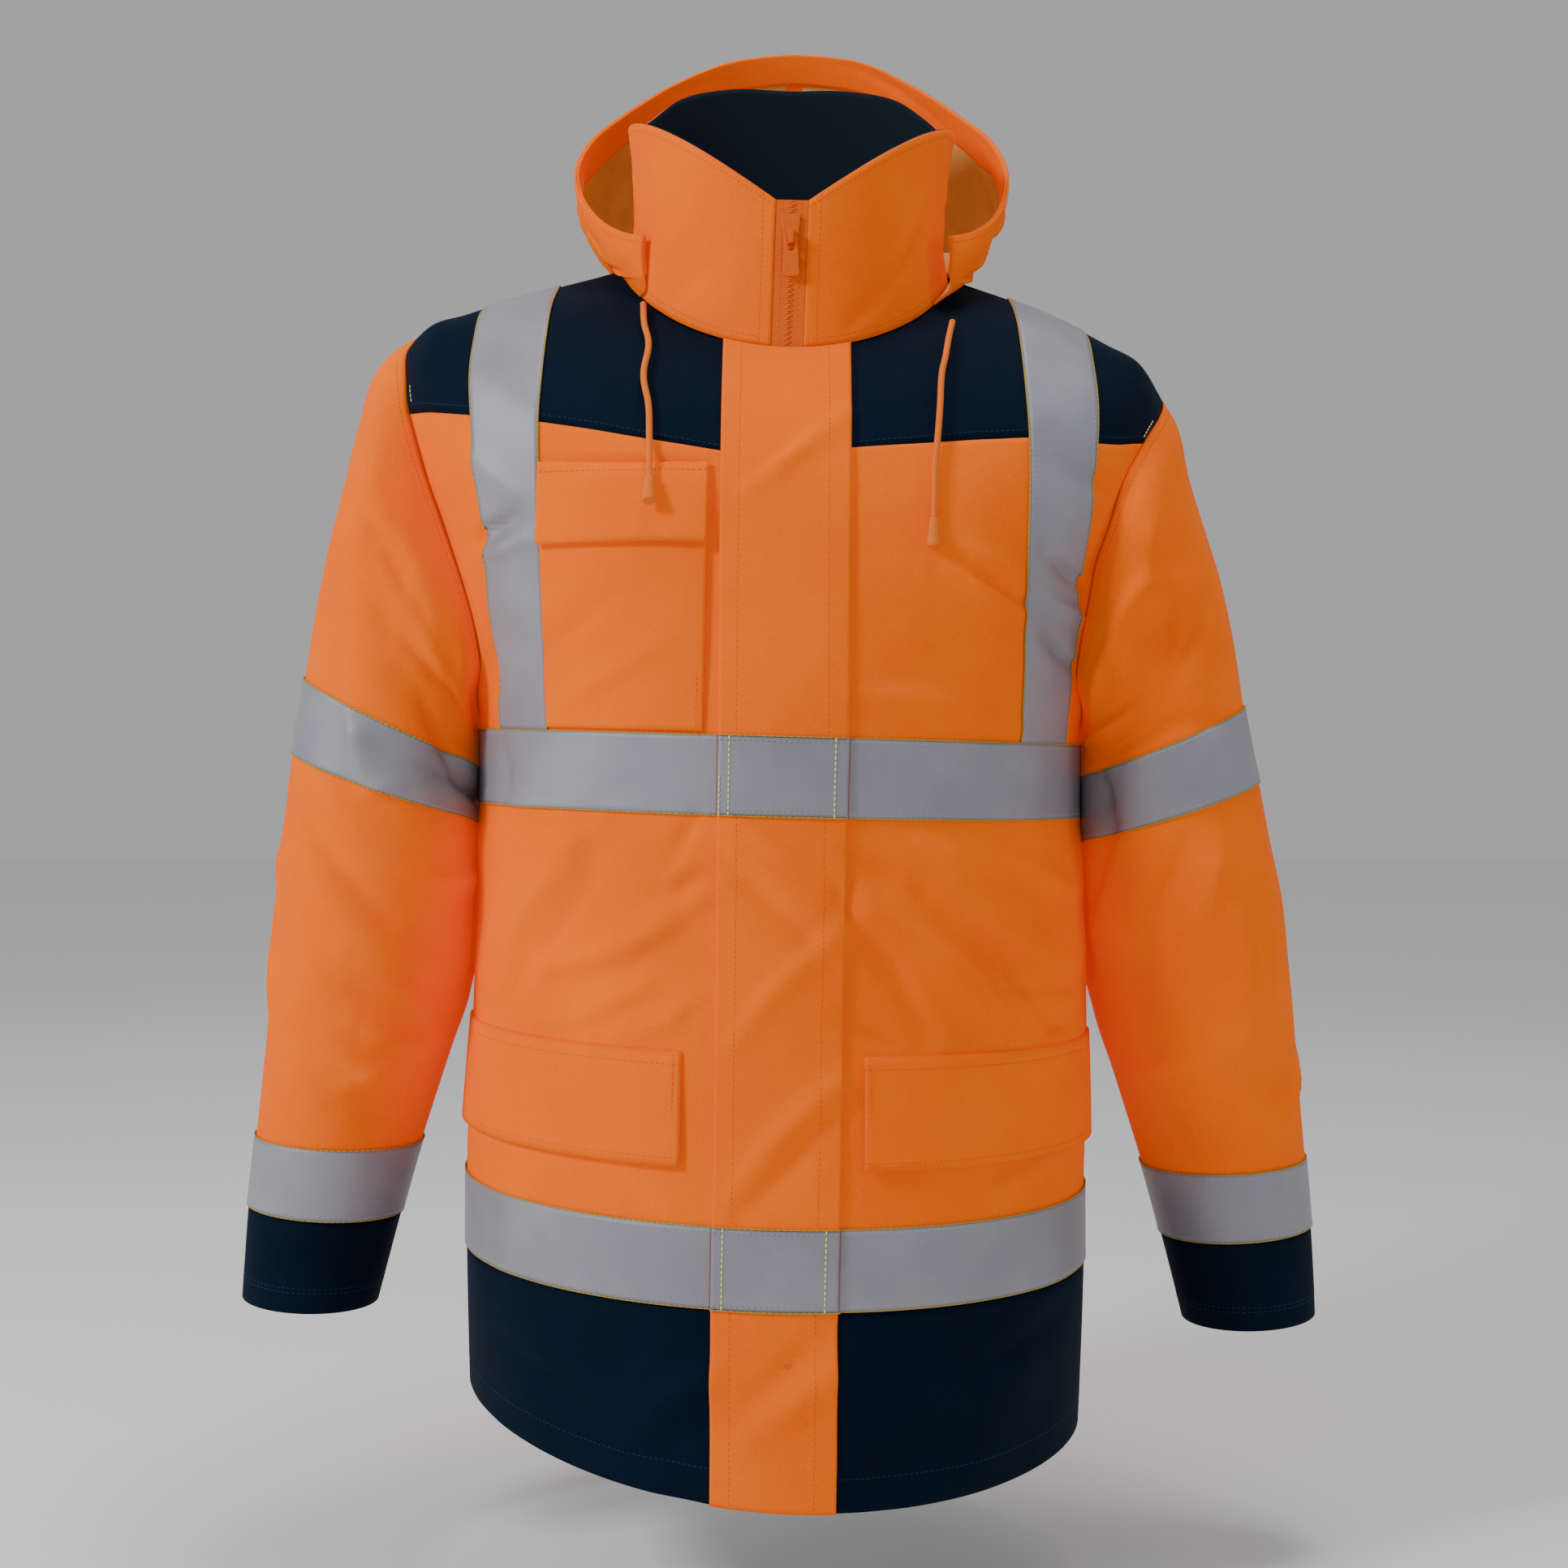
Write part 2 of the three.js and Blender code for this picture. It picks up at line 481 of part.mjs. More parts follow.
// Closed wall between two offsets of a grid, each cell split along its shorter diagonal.
// A ring's last column joins its first.
function wall(grid, low, high, ring = false) {
  const rows = grid.length;
  const columns = grid[0].length;
  const positions = [];
  const amount = (offset, row, place) => (typeof offset === 'function' ? offset(row, place) : offset);
  for (const offset of [high, low]) {
    grid.forEach((line, row) => line.forEach(({ point, normal }, place) => {
      const moved = point.clone().addScaledVector(normal, amount(offset, row, place));
      positions.push(moved.x, moved.y, moved.z);
    }));
  }
  const outer = (row, place) => row * columns + (place % columns);
  const inner = (row, place) => rows * columns + outer(row, place);
  const index = [];
  const quad = (a, b, c, d) => index.push(a, b, c, a, c, d);
  const crossQuad = (a, b, c, d) => index.push(a, b, d, b, c, d);
  const spans = ring ? columns : columns - 1;
  for (let row = 0; row + 1 < rows; row += 1) {
    for (let place = 0; place < spans; place += 1) {
      const next = (place + 1) % columns;
      const falling = grid[row][place].point.distanceTo(grid[row + 1][next].point);
      const rising = grid[row + 1][place].point.distanceTo(grid[row][next].point);
      const face = falling < rising ? quad : crossQuad;
      face(outer(row, place), outer(row + 1, place), outer(row + 1, next), outer(row, next));
      face(inner(row, place), inner(row, next), inner(row + 1, next), inner(row + 1, place));
    }
    if (!ring) {
      quad(outer(row, 0), inner(row, 0), inner(row + 1, 0), outer(row + 1, 0));
      const end = columns - 1;
      quad(outer(row, end), outer(row + 1, end), inner(row + 1, end), inner(row, end));
    }
  }
  for (let place = 0; place < spans; place += 1) {
    quad(outer(0, place), outer(0, place + 1), inner(0, place + 1), inner(0, place));
    const end = rows - 1;
    quad(outer(end, place), inner(end, place), inner(end, place + 1), outer(end, place + 1));
  }
  if (signedVolume(positions, index) < 0) index.reverse();
  const geometry = new THREE.BufferGeometry();
  geometry.setAttribute('position', new THREE.Float32BufferAttribute(positions, 3));
  geometry.setIndex(index);
  return geometry;
}

const jacket = new THREE.Group();

function add(name, geometry, colour, parent = jacket) {
  const mesh = new THREE.Mesh(geometry, new THREE.MeshStandardMaterial(COLOURS[colour]));
  mesh.name = name;
  parent.add(mesh);
  return mesh;
}

const EDGES = { top: SEAM, bottom: SEAM, from: SEAM, to: SEAM };
const cloth = (grid, edges = EDGES) => wall(inset(grid, edges), -CLOTH, 0);
const laid = (grid, thickness, edges = EDGES, under = 0) => (
  wall(inset(grid, edges), under + LAY, under + LAY + thickness));

// Fronts, yokes and hem panels
function addFronts() {
  const bottom = rowIndex['hem tape end'];
  for (const side of ['right', 'left']) {
    const grid = body['front' + side];
    const all = [0, SIDE_COLUMN.front];
    add('front_' + side, cloth(take(grid, [rowIndex.yoke, bottom], all)), 'orange');
    add('front_yoke_' + side, cloth(take(grid, [0, rowIndex.yoke], all)), 'navy');
    add('front_hem_' + side, cloth(take(grid, [bottom, rowIndex.hem], all), { ...EDGES, bottom: 0 }), 'navy');
  }
}

// Back pieces run from one side seam across the centre to the other
const wholeBack = beside(turned(body.backright), body.backleft.map((row) => row.slice(1)));

function addBack() {
  const bottom = rowIndex['hem tape end'];
  const all = [0, 2 * SIDE_COLUMN.back];
  add('back_yoke', cloth(take(wholeBack, [0, rowIndex.yoke], all)), 'navy');
  add('back', cloth(take(wholeBack, [rowIndex.yoke, bottom], all)), 'orange');
  add('back_hem', cloth(take(wholeBack, [bottom, rowIndex.hem], all), { ...EDGES, bottom: 0 }), 'navy');
}

// Reflective tape around the body and over the shoulders; under the arms it starts lower
const UNDER_ARM = 6;
const nearSides = (columns) => (place) => (columns.some((end) => Math.abs(place - end) < 2) ? UNDER_ARM : SEAM);

function addBodyTapes() {
  const placket = lineIndex(FRONT_LINES, 'placket');
  const bands = { chest: 'chest tape', hem: 'hem tape' };
  for (const [name, row] of Object.entries(bands)) {
    const rows = [rowIndex[row + ' top'], rowIndex[row + ' end']];
    for (const side of ['right', 'left']) {
      const front = take(body['front' + side], rows, [placket, SIDE_COLUMN.front]);
      const edges = { ...EDGES, top: nearSides([SIDE_COLUMN.front - placket]) };
      add(name + '_tape_' + side, laid(front, TAPE, edges), 'tape');
    }
    const back = take(wholeBack, rows, [0, 2 * SIDE_COLUMN.back]);
    add(name + '_tape_back', laid(back, TAPE, { ...EDGES, top: nearSides([0, 2 * SIDE_COLUMN.back]) }), 'tape');
  }
  const inner = 'brace inner';
  const outer = 'brace outer';
  const rows = [0, rowIndex['chest tape top']];
  for (const side of ['right', 'left']) {
    const span = (lines) => [lineIndex(lines, inner), lineIndex(lines, outer)];
    const front = take(body['front' + side], rows, span(FRONT_LINES));
    const back = take(body['back' + side], rows, span(BACK_LINES)).reverse();
    add('brace_tape_' + side, laid(below(back, front.slice(1)), TAPE, { top: SEAM, bottom: SEAM }), 'tape');
  }
}

// Storm placket over the zip, with a length of tape at the chest and the hem
const placketGrid = beside(
  turned(take(body.frontright, [0, rowIndex.hem], [0, lineIndex(FRONT_LINES, 'placket')])),
  take(body.frontleft, [0, rowIndex.hem], [0, lineIndex(FRONT_LINES, 'placket')]),
);

function addPlacket() {
  add('placket', laid(placketGrid, PLACKET, { top: 1, from: SEAM, to: SEAM }), 'orange');
  const all = [0, placketGrid[0].length - 1];
  for (const name of ['chest', 'hem']) {
    const rows = [rowIndex[name + ' tape top'], rowIndex[name + ' tape end']];
    add('placket_' + name + '_tape', laid(take(placketGrid, rows, all), TAPE, EDGES, LAY + PLACKET), 'tape');
  }
}

// Patch pocket on the right chest, whose bag stands fullest at its middle, under its flap
const POCKET_FULLNESS = 5;
const FLAP_LIFT = 2.5;

function addChestPocket() {
  const span = [lineIndex(FRONT_LINES, 'chest pocket'), lineIndex(FRONT_LINES, 'brace inner')];
  const rows = [rowIndex['pocket top'], rowIndex['chest tape top']];
  const bag = take(body.frontright, rows, span);
  const width = span[1] - span[0];
  const depth = rows[1] - rows[0];
  const full = (row, place) => LAY + POCKET
    + POCKET_FULLNESS * Math.sin(Math.PI * mix(0.12, 0.94, place / width)) * Math.sin(Math.PI * row / depth);
  add('chest_pocket', wall(inset(bag, { top: 3, bottom: 2, to: SEAM }), LAY, full), 'orange');
  const flap = take(body.frontright, [rows[0], rowIndex['pocket flap end']], span);
  const length = flap.length - 1;
  const under = (row, place) => full(row, place) + LAY + FLAP_LIFT * (row / length) ** 2;
  const over = (row, place) => under(row, place) + POCKET;
  add('chest_pocket_flap', wall(inset(flap, { to: SEAM }), under, over), 'orange');
}

// Flaps of the two lower pockets, free along their lower edges
const LOWER_FLAPS = {
  right: { line: 'lower flap', edge: 1 },
  left: { line: 'chest pocket', edge: 2 },
};
const SIDE_END = 4;

function addLowerFlaps() {
  const rows = [rowIndex['lower flap top'], rowIndex['lower flap end']];
  for (const [side, { line, edge }] of Object.entries(LOWER_FLAPS)) {
    const flap = take(body['front' + side], rows, [lineIndex(FRONT_LINES, line), SIDE_COLUMN.front]);
    const length = flap.length - 1;
    const under = (row) => LAY + FLAP_LIFT * (row / length);
    const over = (row) => under(row) + POCKET;
    add('lower_flap_' + side, wall(inset(flap, { from: edge, to: SIDE_END }), under, over), 'orange');
  }
}

// Normal of each point of a grid from its neighbours
function gridNormals(points, ring, sign) {
  const rows = points.length;
  const columns = points[0].length;
  return points.map((line, row) => line.map((point, place) => {
    const before = ring ? line[(place + columns - 1) % columns] : line[Math.max(place - 1, 0)];
    const after = ring ? line[(place + 1) % columns] : line[Math.min(place + 1, columns - 1)];
    const up = points[Math.max(row - 1, 0)][place];
    const down = points[Math.min(row + 1, rows - 1)][place];
    const across = after.clone().sub(before);
    const along = down.clone().sub(up);
    return { point, normal: across.cross(along).normalize().multiplyScalar(sign) };
  }));
}

// Armhole loop of one side: down the front edge to the armpit, then up the back edge
function armholeLoop(side) {
  const rows = [0, rowIndex['chest tape top']];
  const edge = (half) => take(body[half + side], rows, [SIDE_COLUMN[half], SIDE_COLUMN[half]])
    .map(([cell]) => cell.point);
  const back = edge('back').reverse();
  return [...edge('front'), ...back.slice(1, -1)];
}

// Sleeve ring at a place of the table, in the pose of its side
function sleeveRing(side, ring) {
  const pose = SLEEVE_POSE[side];
  const get = (key) => read(SLEEVE, key, ring);
  const last = SLEEVE.length - 1;
  const tuck = pose.tuck * smoothstep(0, 1.5, ring) * (1 - smoothstep(6, 10, ring));
  const drop = pose.drop * smoothstep(0, 2.5, ring);
  const sign = SIDES[side];
  const outer = new THREE.Vector3(sign * (get('outX') - tuck), 0, get('outZ') - drop);
  const inner = new THREE.Vector3(sign * get('inX'), 0, get('inZ') - drop * smoothstep(4, 9, ring));
  const centre = outer.clone().add(inner).multiplyScalar(0.5);
  centre.y = get('centreY') + pose.back * (ring / last) ** 3;
  const half = outer.clone().sub(inner).multiplyScalar(0.5);
  const across = new THREE.Vector3(half.z, 0, -half.x).normalize().multiplyScalar(sign);
  return { centre, half, depth: get('depth'), across };
}

// Keeps a sleeve point off the body's side, below the armpit
function clearOfBody(point) {
  if (point.z > BODY[CHEST].sideZ + 15) return point;
  const height = (level) => bodyPoint(QUARTER, level).z;
  const level = solve(height, point.z, CHEST, HEM_TAPE_END);
  const centreX = read(BODY, 'centreX', level);
  const reachX = read(BODY, 'halfWidth', level) + ARM_GAP;
  const reachY = Math.abs(read(BODY, point.y < MIDDLE_Y ? 'frontY' : 'backY', level) - MIDDLE_Y) + ARM_GAP;
  const [x, y] = [point.x - centreX, point.y - MIDDLE_Y];
  const share = Math.hypot(x / reachX, y / reachY);
  if (share < 1) point.set(centreX + x / share, MIDDLE_Y + y / share, point.z);
  return point;
}

function sleeveGrid(side) {
  const loop = armholeLoop(side);
  const first = sleeveRing(side, 0);
  const size = loop.length;
  const lengths = loop.map((point, place) => point.distanceTo(loop[(place + 1) % size]));
  const half = size / 2;
  const total = (from) => lengths.slice(from, from + half).reduce((sum, value) => sum + value, 0);
  const turns = [];
  for (const from of [0, half]) {
    let sum = 0;
    for (let place = from; place < from + half; place += 1) {
      turns.push(Math.PI * (sum / total(from) + (from ? 1 : 0)));
      sum += lengths[place];
    }
  }
  const local = loop.map((point) => {
    const way = point.clone().sub(first.centre);
    return {
      a: way.dot(first.half) / first.half.lengthSq(),
      b: -way.y / first.depth,
      c: way.dot(first.across),
    };
  });
  const rings = [0];
  for (const { ring, cells } of SLEEVE_ROWS) {
    const start = rings[rings.length - 1];
    for (let step = 1; step <= cells; step += 1) rings.push(mix(start, ring, step / cells));
  }
  const points = rings.map((ring) => {
    const { centre, half: out, depth, across } = sleeveRing(side, ring);
    const round = smoothstep(0, 5, ring);
    const fade = 1 - round;
    return turns.map((turn, place) => {
      const { a, b, c } = local[place];
      const along = mix(a, Math.cos(turn), round);
      const forward = mix(b, Math.sin(turn), round);
      const point = centre.clone().addScaledVector(out, along).addScaledVector(across, c * fade + HEAD_GAP * fade);
      point.y -= depth * forward;
      return ring > 0.5 ? clearOfBody(point) : point;
    });
  });
  const grid = gridNormals(points, true, SIDES[side]);
  const folds = SLEEVE_FOLDS.map(({ ring1, turn1, ring2, turn2, ...rest }) => (
    { ...rest, x1: turn1, x2: turn2, z1: ring1 * 45, z2: ring2 * 45 }));
  grid.forEach((line, row) => line.forEach((cell, place) => {
    const lift = foldHeight(turns[place] / DEGREE, rings[row] * 45, folds);
    const calm = smoothstep(0, 1.2, rings[row]);
    cell.point.addScaledVector(cell.normal, lift * calm);
    if (rings[row] > 0.5) clearOfBody(cell.point);
  }));
  return grid;
}

function addSleeve(side) {
  const grid = sleeveGrid(side);
  const rows = {};
  SLEEVE_ROWS.reduce((row, { name, cells }) => (rows[name] = row + cells), 0);
  const all = [0, grid[0].length - 1];
  const tube = (span, edges) => inset(take(grid, span, all), edges);
  const ends = { top: SEAM, bottom: SEAM };
  add('sleeve_' + side, wall(tube([0, rows['lower tape end']], { bottom: SEAM }), -CLOTH, 0, true), 'orange');
  add('cuff_' + side, wall(tube([rows['lower tape end'], rows['cuff end']], { top: SEAM }), -CLOTH, 0, true), 'navy');
  for (const name of ['upper', 'lower']) {
    const band = tube([rows[name + ' tape top'], rows[name + ' tape end']], ends);
    add('sleeve_tape_' + name + '_' + side, wall(band, LAY, LAY + TAPE, true), 'tape');
  }
}

// Stand collar on the neck seam, from one edge of the zip round the back to the other
function collarPoint(angle, share) {
  const low = bodyPoint(angle, 0);
  const top = COLLAR_TOP;
  const across = Math.sin(angle);
  const along = Math.cos(angle);
  const front = along > 0;
  const x = top.centreX + top.halfWidth * across;
  const y = MIDDLE_Y + ((front ? top.frontY : top.backY) - MIDDLE_Y) * Math.abs(along);
  const rise = front ? 1 - Math.abs(across) : 1 - across ** 4;
  const z = mix(top.sideZ, front ? top.frontZ : top.backZ, rise) + top.tilt * x;
  const point = low.lerp(new THREE.Vector3(x, y, z), share);
  point.x -= COLLAR_WAIST * Math.sin(Math.PI * share) * across * Math.abs(across);
  point.z += COLLAR_LIFT * (1 - share);
  return point;
}

const neckAngles = (half, side) => {
  const lines = half === 'front' ? FRONT_LINES : BACK_LINES;
  const count = lineIndex(lines, 'neck side') + 1;
  return Array.from({ length: count }, (_, index) => lineAngle(half, side, index, 0));
};
const collarAngles = [
  ...neckAngles('front', 'right'),
  ...neckAngles('back', 'right').reverse().slice(1),
  ...neckAngles('back', 'left').map((angle) => angle - 2 * Math.PI).slice(1),
  ...neckAngles('front', 'left').map((angle) => angle - 2 * Math.PI).reverse().slice(1),
];
const collarRows = (angles) => Array.from({ length: COLLAR_CELLS + 1 }, (_, row) => (
  angles.map((angle) => collarPoint(angle, 1 - row / COLLAR_CELLS))));

function addCollar() {
  const grid = inset(gridNormals(collarRows(collarAngles), false, 1), { from: SEAM, to: SEAM });
  add('collar', wall(grid, -CLOTH, 0), 'orange');
  add('collar_lining', wall(grid, -CLOTH - LAY - LINING, -CLOTH - LAY), 'lining');
}

// Zip: one strip of tape and closed teeth from the hem to the collar's top
const ZIP_DEPTH = 0.4;
const ZIP = 1.2;

function addZip() {
  const edge = lineIndex(FRONT_LINES, 'zip');
  const lower = body.frontright.map((row, index) => [row[edge], body.frontleft[index][edge]]);
  const angles = [lineAngle('front', 'right', edge, 0), lineAngle('front', 'left', edge, 0)];
  const upper = gridNormals(collarRows(angles), false, -1).slice(0, -1);
  const strip = below(upper, lower);
  add('zip', wall(inset(strip, { from: SEAM, to: SEAM }), -ZIP_DEPTH - ZIP, -ZIP_DEPTH), 'zip');
}

// Hood shell of two sides and the strip between them, and the facing inside its rim
function hoodStation(place, side) {
  const get = (key) => read(HOOD, key, place);
  const turn = get('turn') * DEGREE;
  const seam = bodyPoint(SIDES[side] * turn, 0);
  seam.x += HOOD_STAND * SIDES[side] * Math.sin(turn);
  seam.y -= HOOD_STAND * Math.cos(turn);
  seam.z += HOOD_STAND;
  const rest = ['inner', 'foot', 'bulge', 'rim'].map((name) => {
    const radius = get(name + 'R');
    const x = get('shift') + SIDES[side] * radius * Math.sin(turn);
    return new THREE.Vector3(x, HOOD_CENTRE_Y - radius * Math.cos(turn), get(name + 'Z'));
  });
  const profile = new THREE.CatmullRomCurve3([seam, ...rest], false, 'centripetal');
  const bag = 1 - get('facing') / profile.getLength();
  return Array.from({ length: HOOD_ROWS + 1 }, (_, row) => profile.getPointAt(
    row < BAG_ROWS ? bag * row / BAG_ROWS : mix(bag, 1, (row - BAG_ROWS) / FACING_ROWS)));
}

function hoodGrid() {
  const places = (side) => [
    ...Array.from({ length: HOOD_COLUMNS + 1 }, (_, index) => (
      hoodStation(index * STRIP_START / HOOD_COLUMNS, side))),
    hoodStation(HOOD.length - 1, side),
  ];
  const right = places('right');
  const left = places('left').reverse().slice(1);
  const columns = [...right, ...left];
  const points = columns[0].map((_, row) => columns.map((line) => line[row]));
  return gridNormals(points, false, -1);
}

function addHood() {
  const grid = hoodGrid();
  const rows = [0, HOOD_ROWS];
  const far = HOOD_COLUMNS + 2;
  const end = far + HOOD_COLUMNS;
  add('hood_right', cloth(take(grid, rows, [0, HOOD_COLUMNS]), { to: SEAM }), 'orange');
  add('hood_centre', cloth(take(grid, rows, [HOOD_COLUMNS, far]), { from: SEAM, to: SEAM }), 'orange');
  add('hood_left', cloth(take(grid, rows, [far, end]), { from: SEAM }), 'orange');
  const rim = take(grid, [HOOD_ROWS - FACING_ROWS, HOOD_ROWS], [0, end]);
  add('hood_facing', wall(rim, -CLOTH - LAY - FACING, -CLOTH - LAY), 'orange');
}

// Zip slider with the bridge that its pull tab hangs on, made upright about its lower end
const SLIDER = { width: 12, foot: 9, height: 19, thickness: 2, bridgeWidth: 3.2, bridgeHeight: 9 };
const WINDOW = { low: 2, high: 7, depth: 4.5, bar: 1.5 };
const SLIDER_SHARE = 0.7;
const HINGE = { y: -2.3, z: 3.3 };
const TAB = { width: 10.5, length: 25, thickness: 1.6, bar: 1.4, slotWidth: 4.4, slotLength: 7.3, corner: 2.5 };

function manifoldOf(geometry) {
  geometry.deleteAttribute('normal');
  geometry.deleteAttribute('uv');
  const merged = mergeVertices(geometry, 1e-4);
  return new wasm.Manifold(new wasm.Mesh({
    numProp: 3,
    vertProperties: merged.attributes.position.array,
    triVerts: new Uint32Array(merged.index.array),
  }));
}

function geometryOf(manifold) {
  const mesh = manifold.getMesh();
  const geometry = new THREE.BufferGeometry();
  geometry.setAttribute('position', new THREE.Float32BufferAttribute(mesh.vertProperties, 3));
  geometry.setIndex(Array.from(mesh.triVerts));
  return geometry;
}

// Plate seen from the front: wide at its top, rounded corners, from y 0 back to its thickness
function plate(bottomWidth, topWidth, low, high, thickness, corner) {
  const shape = new THREE.Shape();
  const [b, t] = [bottomWidth / 2, topWidth / 2];
  shape.moveTo(-b + corner, low).lineTo(b - corner, low).quadraticCurveTo(b, low, b, low + corner);
  shape.lineTo(t, high - corner).quadraticCurveTo(t, high, t - corner, high);
  shape.lineTo(-t + corner, high).quadraticCurveTo(-t, high, -t, high - corner);
  shape.lineTo(-b, low + corner).quadraticCurveTo(-b, low, -b + corner, low);
  const geometry = new THREE.ExtrudeGeometry(shape, { depth: thickness, bevelEnabled: false, curveSegments: 3 });
  return geometry.rotateX(QUARTER).translate(0, thickness, 0);
}

function box(x, y, z) {
  const geometry = new THREE.BoxGeometry(x[1] - x[0], y[1] - y[0], z[1] - z[0]);
  return manifoldOf(geometry.translate((x[0] + x[1]) / 2, (y[0] + y[1]) / 2, (z[0] + z[1]) / 2));
}

function addSlider() {
  const edge = collarPoint(lineAngle('front', 'left', 0, 0), SLIDER_SHARE);
  const below = collarPoint(lineAngle('front', 'left', 0, 0), SLIDER_SHARE - 0.2);
  const seat = new THREE.Group();
  seat.position.set(4.5, edge.y + ZIP_DEPTH - LAY - SLIDER.thickness, edge.z);
  seat.rotation.x = Math.atan2(below.y - edge.y, edge.z - below.z);
  jacket.add(seat);
  const { width, foot, height, thickness, bridgeWidth, bridgeHeight } = SLIDER;
  const across = [-bridgeWidth / 2, bridgeWidth / 2];
  const front = -WINDOW.depth - WINDOW.bar;
  const base = manifoldOf(plate(foot, width, 0, height, thickness, 2));
  const bridge = box(across, [front, 0.5], [0, bridgeHeight]);
  const hole = box([-bridgeWidth, bridgeWidth], [-WINDOW.depth, 0], [WINDOW.low, WINDOW.high]);
  add('slider', geometryOf(base.add(bridge.subtract(hole))), 'zip', seat);
  const half = TAB.thickness / 2;
  const top = HINGE.z + TAB.bar / 2;
  const tab = manifoldOf(plate(TAB.width, TAB.width - 2, top - TAB.length, top, TAB.thickness, TAB.corner)
    .translate(0, HINGE.y - half, 0));
  const slotTop = top - TAB.bar;
  const slotX = [-TAB.slotWidth / 2, TAB.slotWidth / 2];
  const slot = box(slotX, [HINGE.y - 2, HINGE.y + 2], [slotTop - TAB.slotLength, slotTop]);
  add('pull_tab', geometryOf(tab.subtract(slot)), 'zip', seat);
}

// Drawcords hanging from the hood's front corners, each with a moulded bell end
const CORD = { radius: 2.1, sides: 8, step: 11 };
const BELL = [
  { height: 0, radius: 4.2 },
  { height: 2.5, radius: 4.3 },
  { height: 5, radius: 3.9 },
  { height: 14, radius: 3.2 },
  { height: 19, radius: 2.7 },
];
const CORD_ROUTE = {
  right: [
    { x: -94, y: -79.5, z: -30 },
    { x: -92, y: -100, z: -47 },
    { x: -88, y: -118.5, z: -64 },
    { x: -90, y: -137, z: -88 },
    { x: -86, y: -149.8, z: -109 },
    { x: -85, y: -158.5, z: -126 },
    { x: -84.5, y: -166.4, z: -141 },
    { x: -84, y: -175.6, z: -157 },
  ],
  left: [
    { x: 112, y: -85.3, z: -43 },
    { x: 108, y: -104.3, z: -58 },
    { x: 105, y: -117.3, z: -72 },
    { x: 102, y: -127.6, z: -84 },
    { x: 99.5, y: -144, z: -109 },
    { x: 97, y: -156.2, z: -132 },
    { x: 95, y: -162.9, z: -150 },
    { x: 94.5, y: -166.7, z: -165 },
    { x: 94, y: -170.2, z: -182 },
  ],
};

function addCord(side) {
  const points = CORD_ROUTE[side].map(({ x, y, z }) => new THREE.Vector3(x, y, z));
  const path = new THREE.CatmullRomCurve3(points, false, 'centripetal');
  const ring = new THREE.Shape();
  for (let index = 0; index < CORD.sides; index += 1) {
    const turn = index * 2 * Math.PI / CORD.sides;
    ring[index ? 'lineTo' : 'moveTo'](CORD.radius * Math.cos(turn), CORD.radius * Math.sin(turn));
  }
  const steps = Math.round(path.getLength() / CORD.step);
  add('cord_' + side, new THREE.ExtrudeGeometry(ring, { steps, extrudePath: path }), 'cord');
  const end = points[points.length - 1];
  const down = path.getTangent(1).normalize();
  const outline = BELL.map(({ height, radius }) => new THREE.Vector2(radius, height));
  outline.unshift(new THREE.Vector2(0, BELL[0].height));
  outline.push(new THREE.Vector2(0, BELL[BELL.length - 1].height));
  const bell = new THREE.LatheGeometry(outline, 12);
  bell.applyQuaternion(new THREE.Quaternion().setFromUnitVectors(new THREE.Vector3(0, -1, 0), down));
  const centre = end.clone().addScaledVector(down, LAY + BELL[BELL.length - 1].height);
  add('cord_end_' + side, bell.translate(centre.x, centre.y, centre.z), 'cord');
}

addFronts();
addBack();
addBodyTapes();
addPlacket();
addChestPocket();
addLowerFlaps();
addSleeve('right');
addSleeve('left');
addCollar();
addZip();
addSlider();
addHood();
addCord('right');
addCord('left');

export default jacket;
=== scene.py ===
"""Looks of the hooded hi-vis work jacket, built round its CAD part. Shapes are worked out in millimetres."""
import math

import bmesh
import bpy
import numpy as np
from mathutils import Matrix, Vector


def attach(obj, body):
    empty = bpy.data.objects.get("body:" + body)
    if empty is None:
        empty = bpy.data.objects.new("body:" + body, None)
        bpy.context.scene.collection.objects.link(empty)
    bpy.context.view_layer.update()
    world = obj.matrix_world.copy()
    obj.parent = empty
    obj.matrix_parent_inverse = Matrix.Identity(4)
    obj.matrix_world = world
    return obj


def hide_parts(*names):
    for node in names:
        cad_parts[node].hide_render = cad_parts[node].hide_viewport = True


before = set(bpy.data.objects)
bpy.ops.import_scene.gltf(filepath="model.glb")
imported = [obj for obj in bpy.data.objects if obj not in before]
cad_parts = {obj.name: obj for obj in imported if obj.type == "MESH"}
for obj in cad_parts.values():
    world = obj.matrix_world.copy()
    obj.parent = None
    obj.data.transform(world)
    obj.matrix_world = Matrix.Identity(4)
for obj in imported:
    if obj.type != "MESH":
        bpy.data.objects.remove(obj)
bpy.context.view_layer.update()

MM = 0.001
QUARTER = math.pi / 2
SIDES = {"right": -1, "left": 1}
CLOTH, TAPE, PLACKET, POCKET, FACING, LINING = 1.8, 1.0, 2.5, 1.7, 1.2, 2.0
LAY, SEAM = 0.3, 0.2
FINE = 7       # fine cells to one cell of the CAD part's cloth

# Camera at the photograph's place: level with the chest, 1.5 m in front
CAMERA_DISTANCE, CAMERA_HEIGHT = 1.5, -0.323
camera_data = bpy.data.cameras.new("camera")
camera = bpy.data.objects.new("camera", camera_data)
bpy.context.collection.objects.link(camera)
camera.location = (0, -CAMERA_DISTANCE, CAMERA_HEIGHT)
camera.rotation_euler = (QUARTER, 0, 0)
camera_data.lens = 48.82
camera_data.sensor_width = 36
camera_data.shift_y = -0.0264
bpy.context.scene.camera = camera

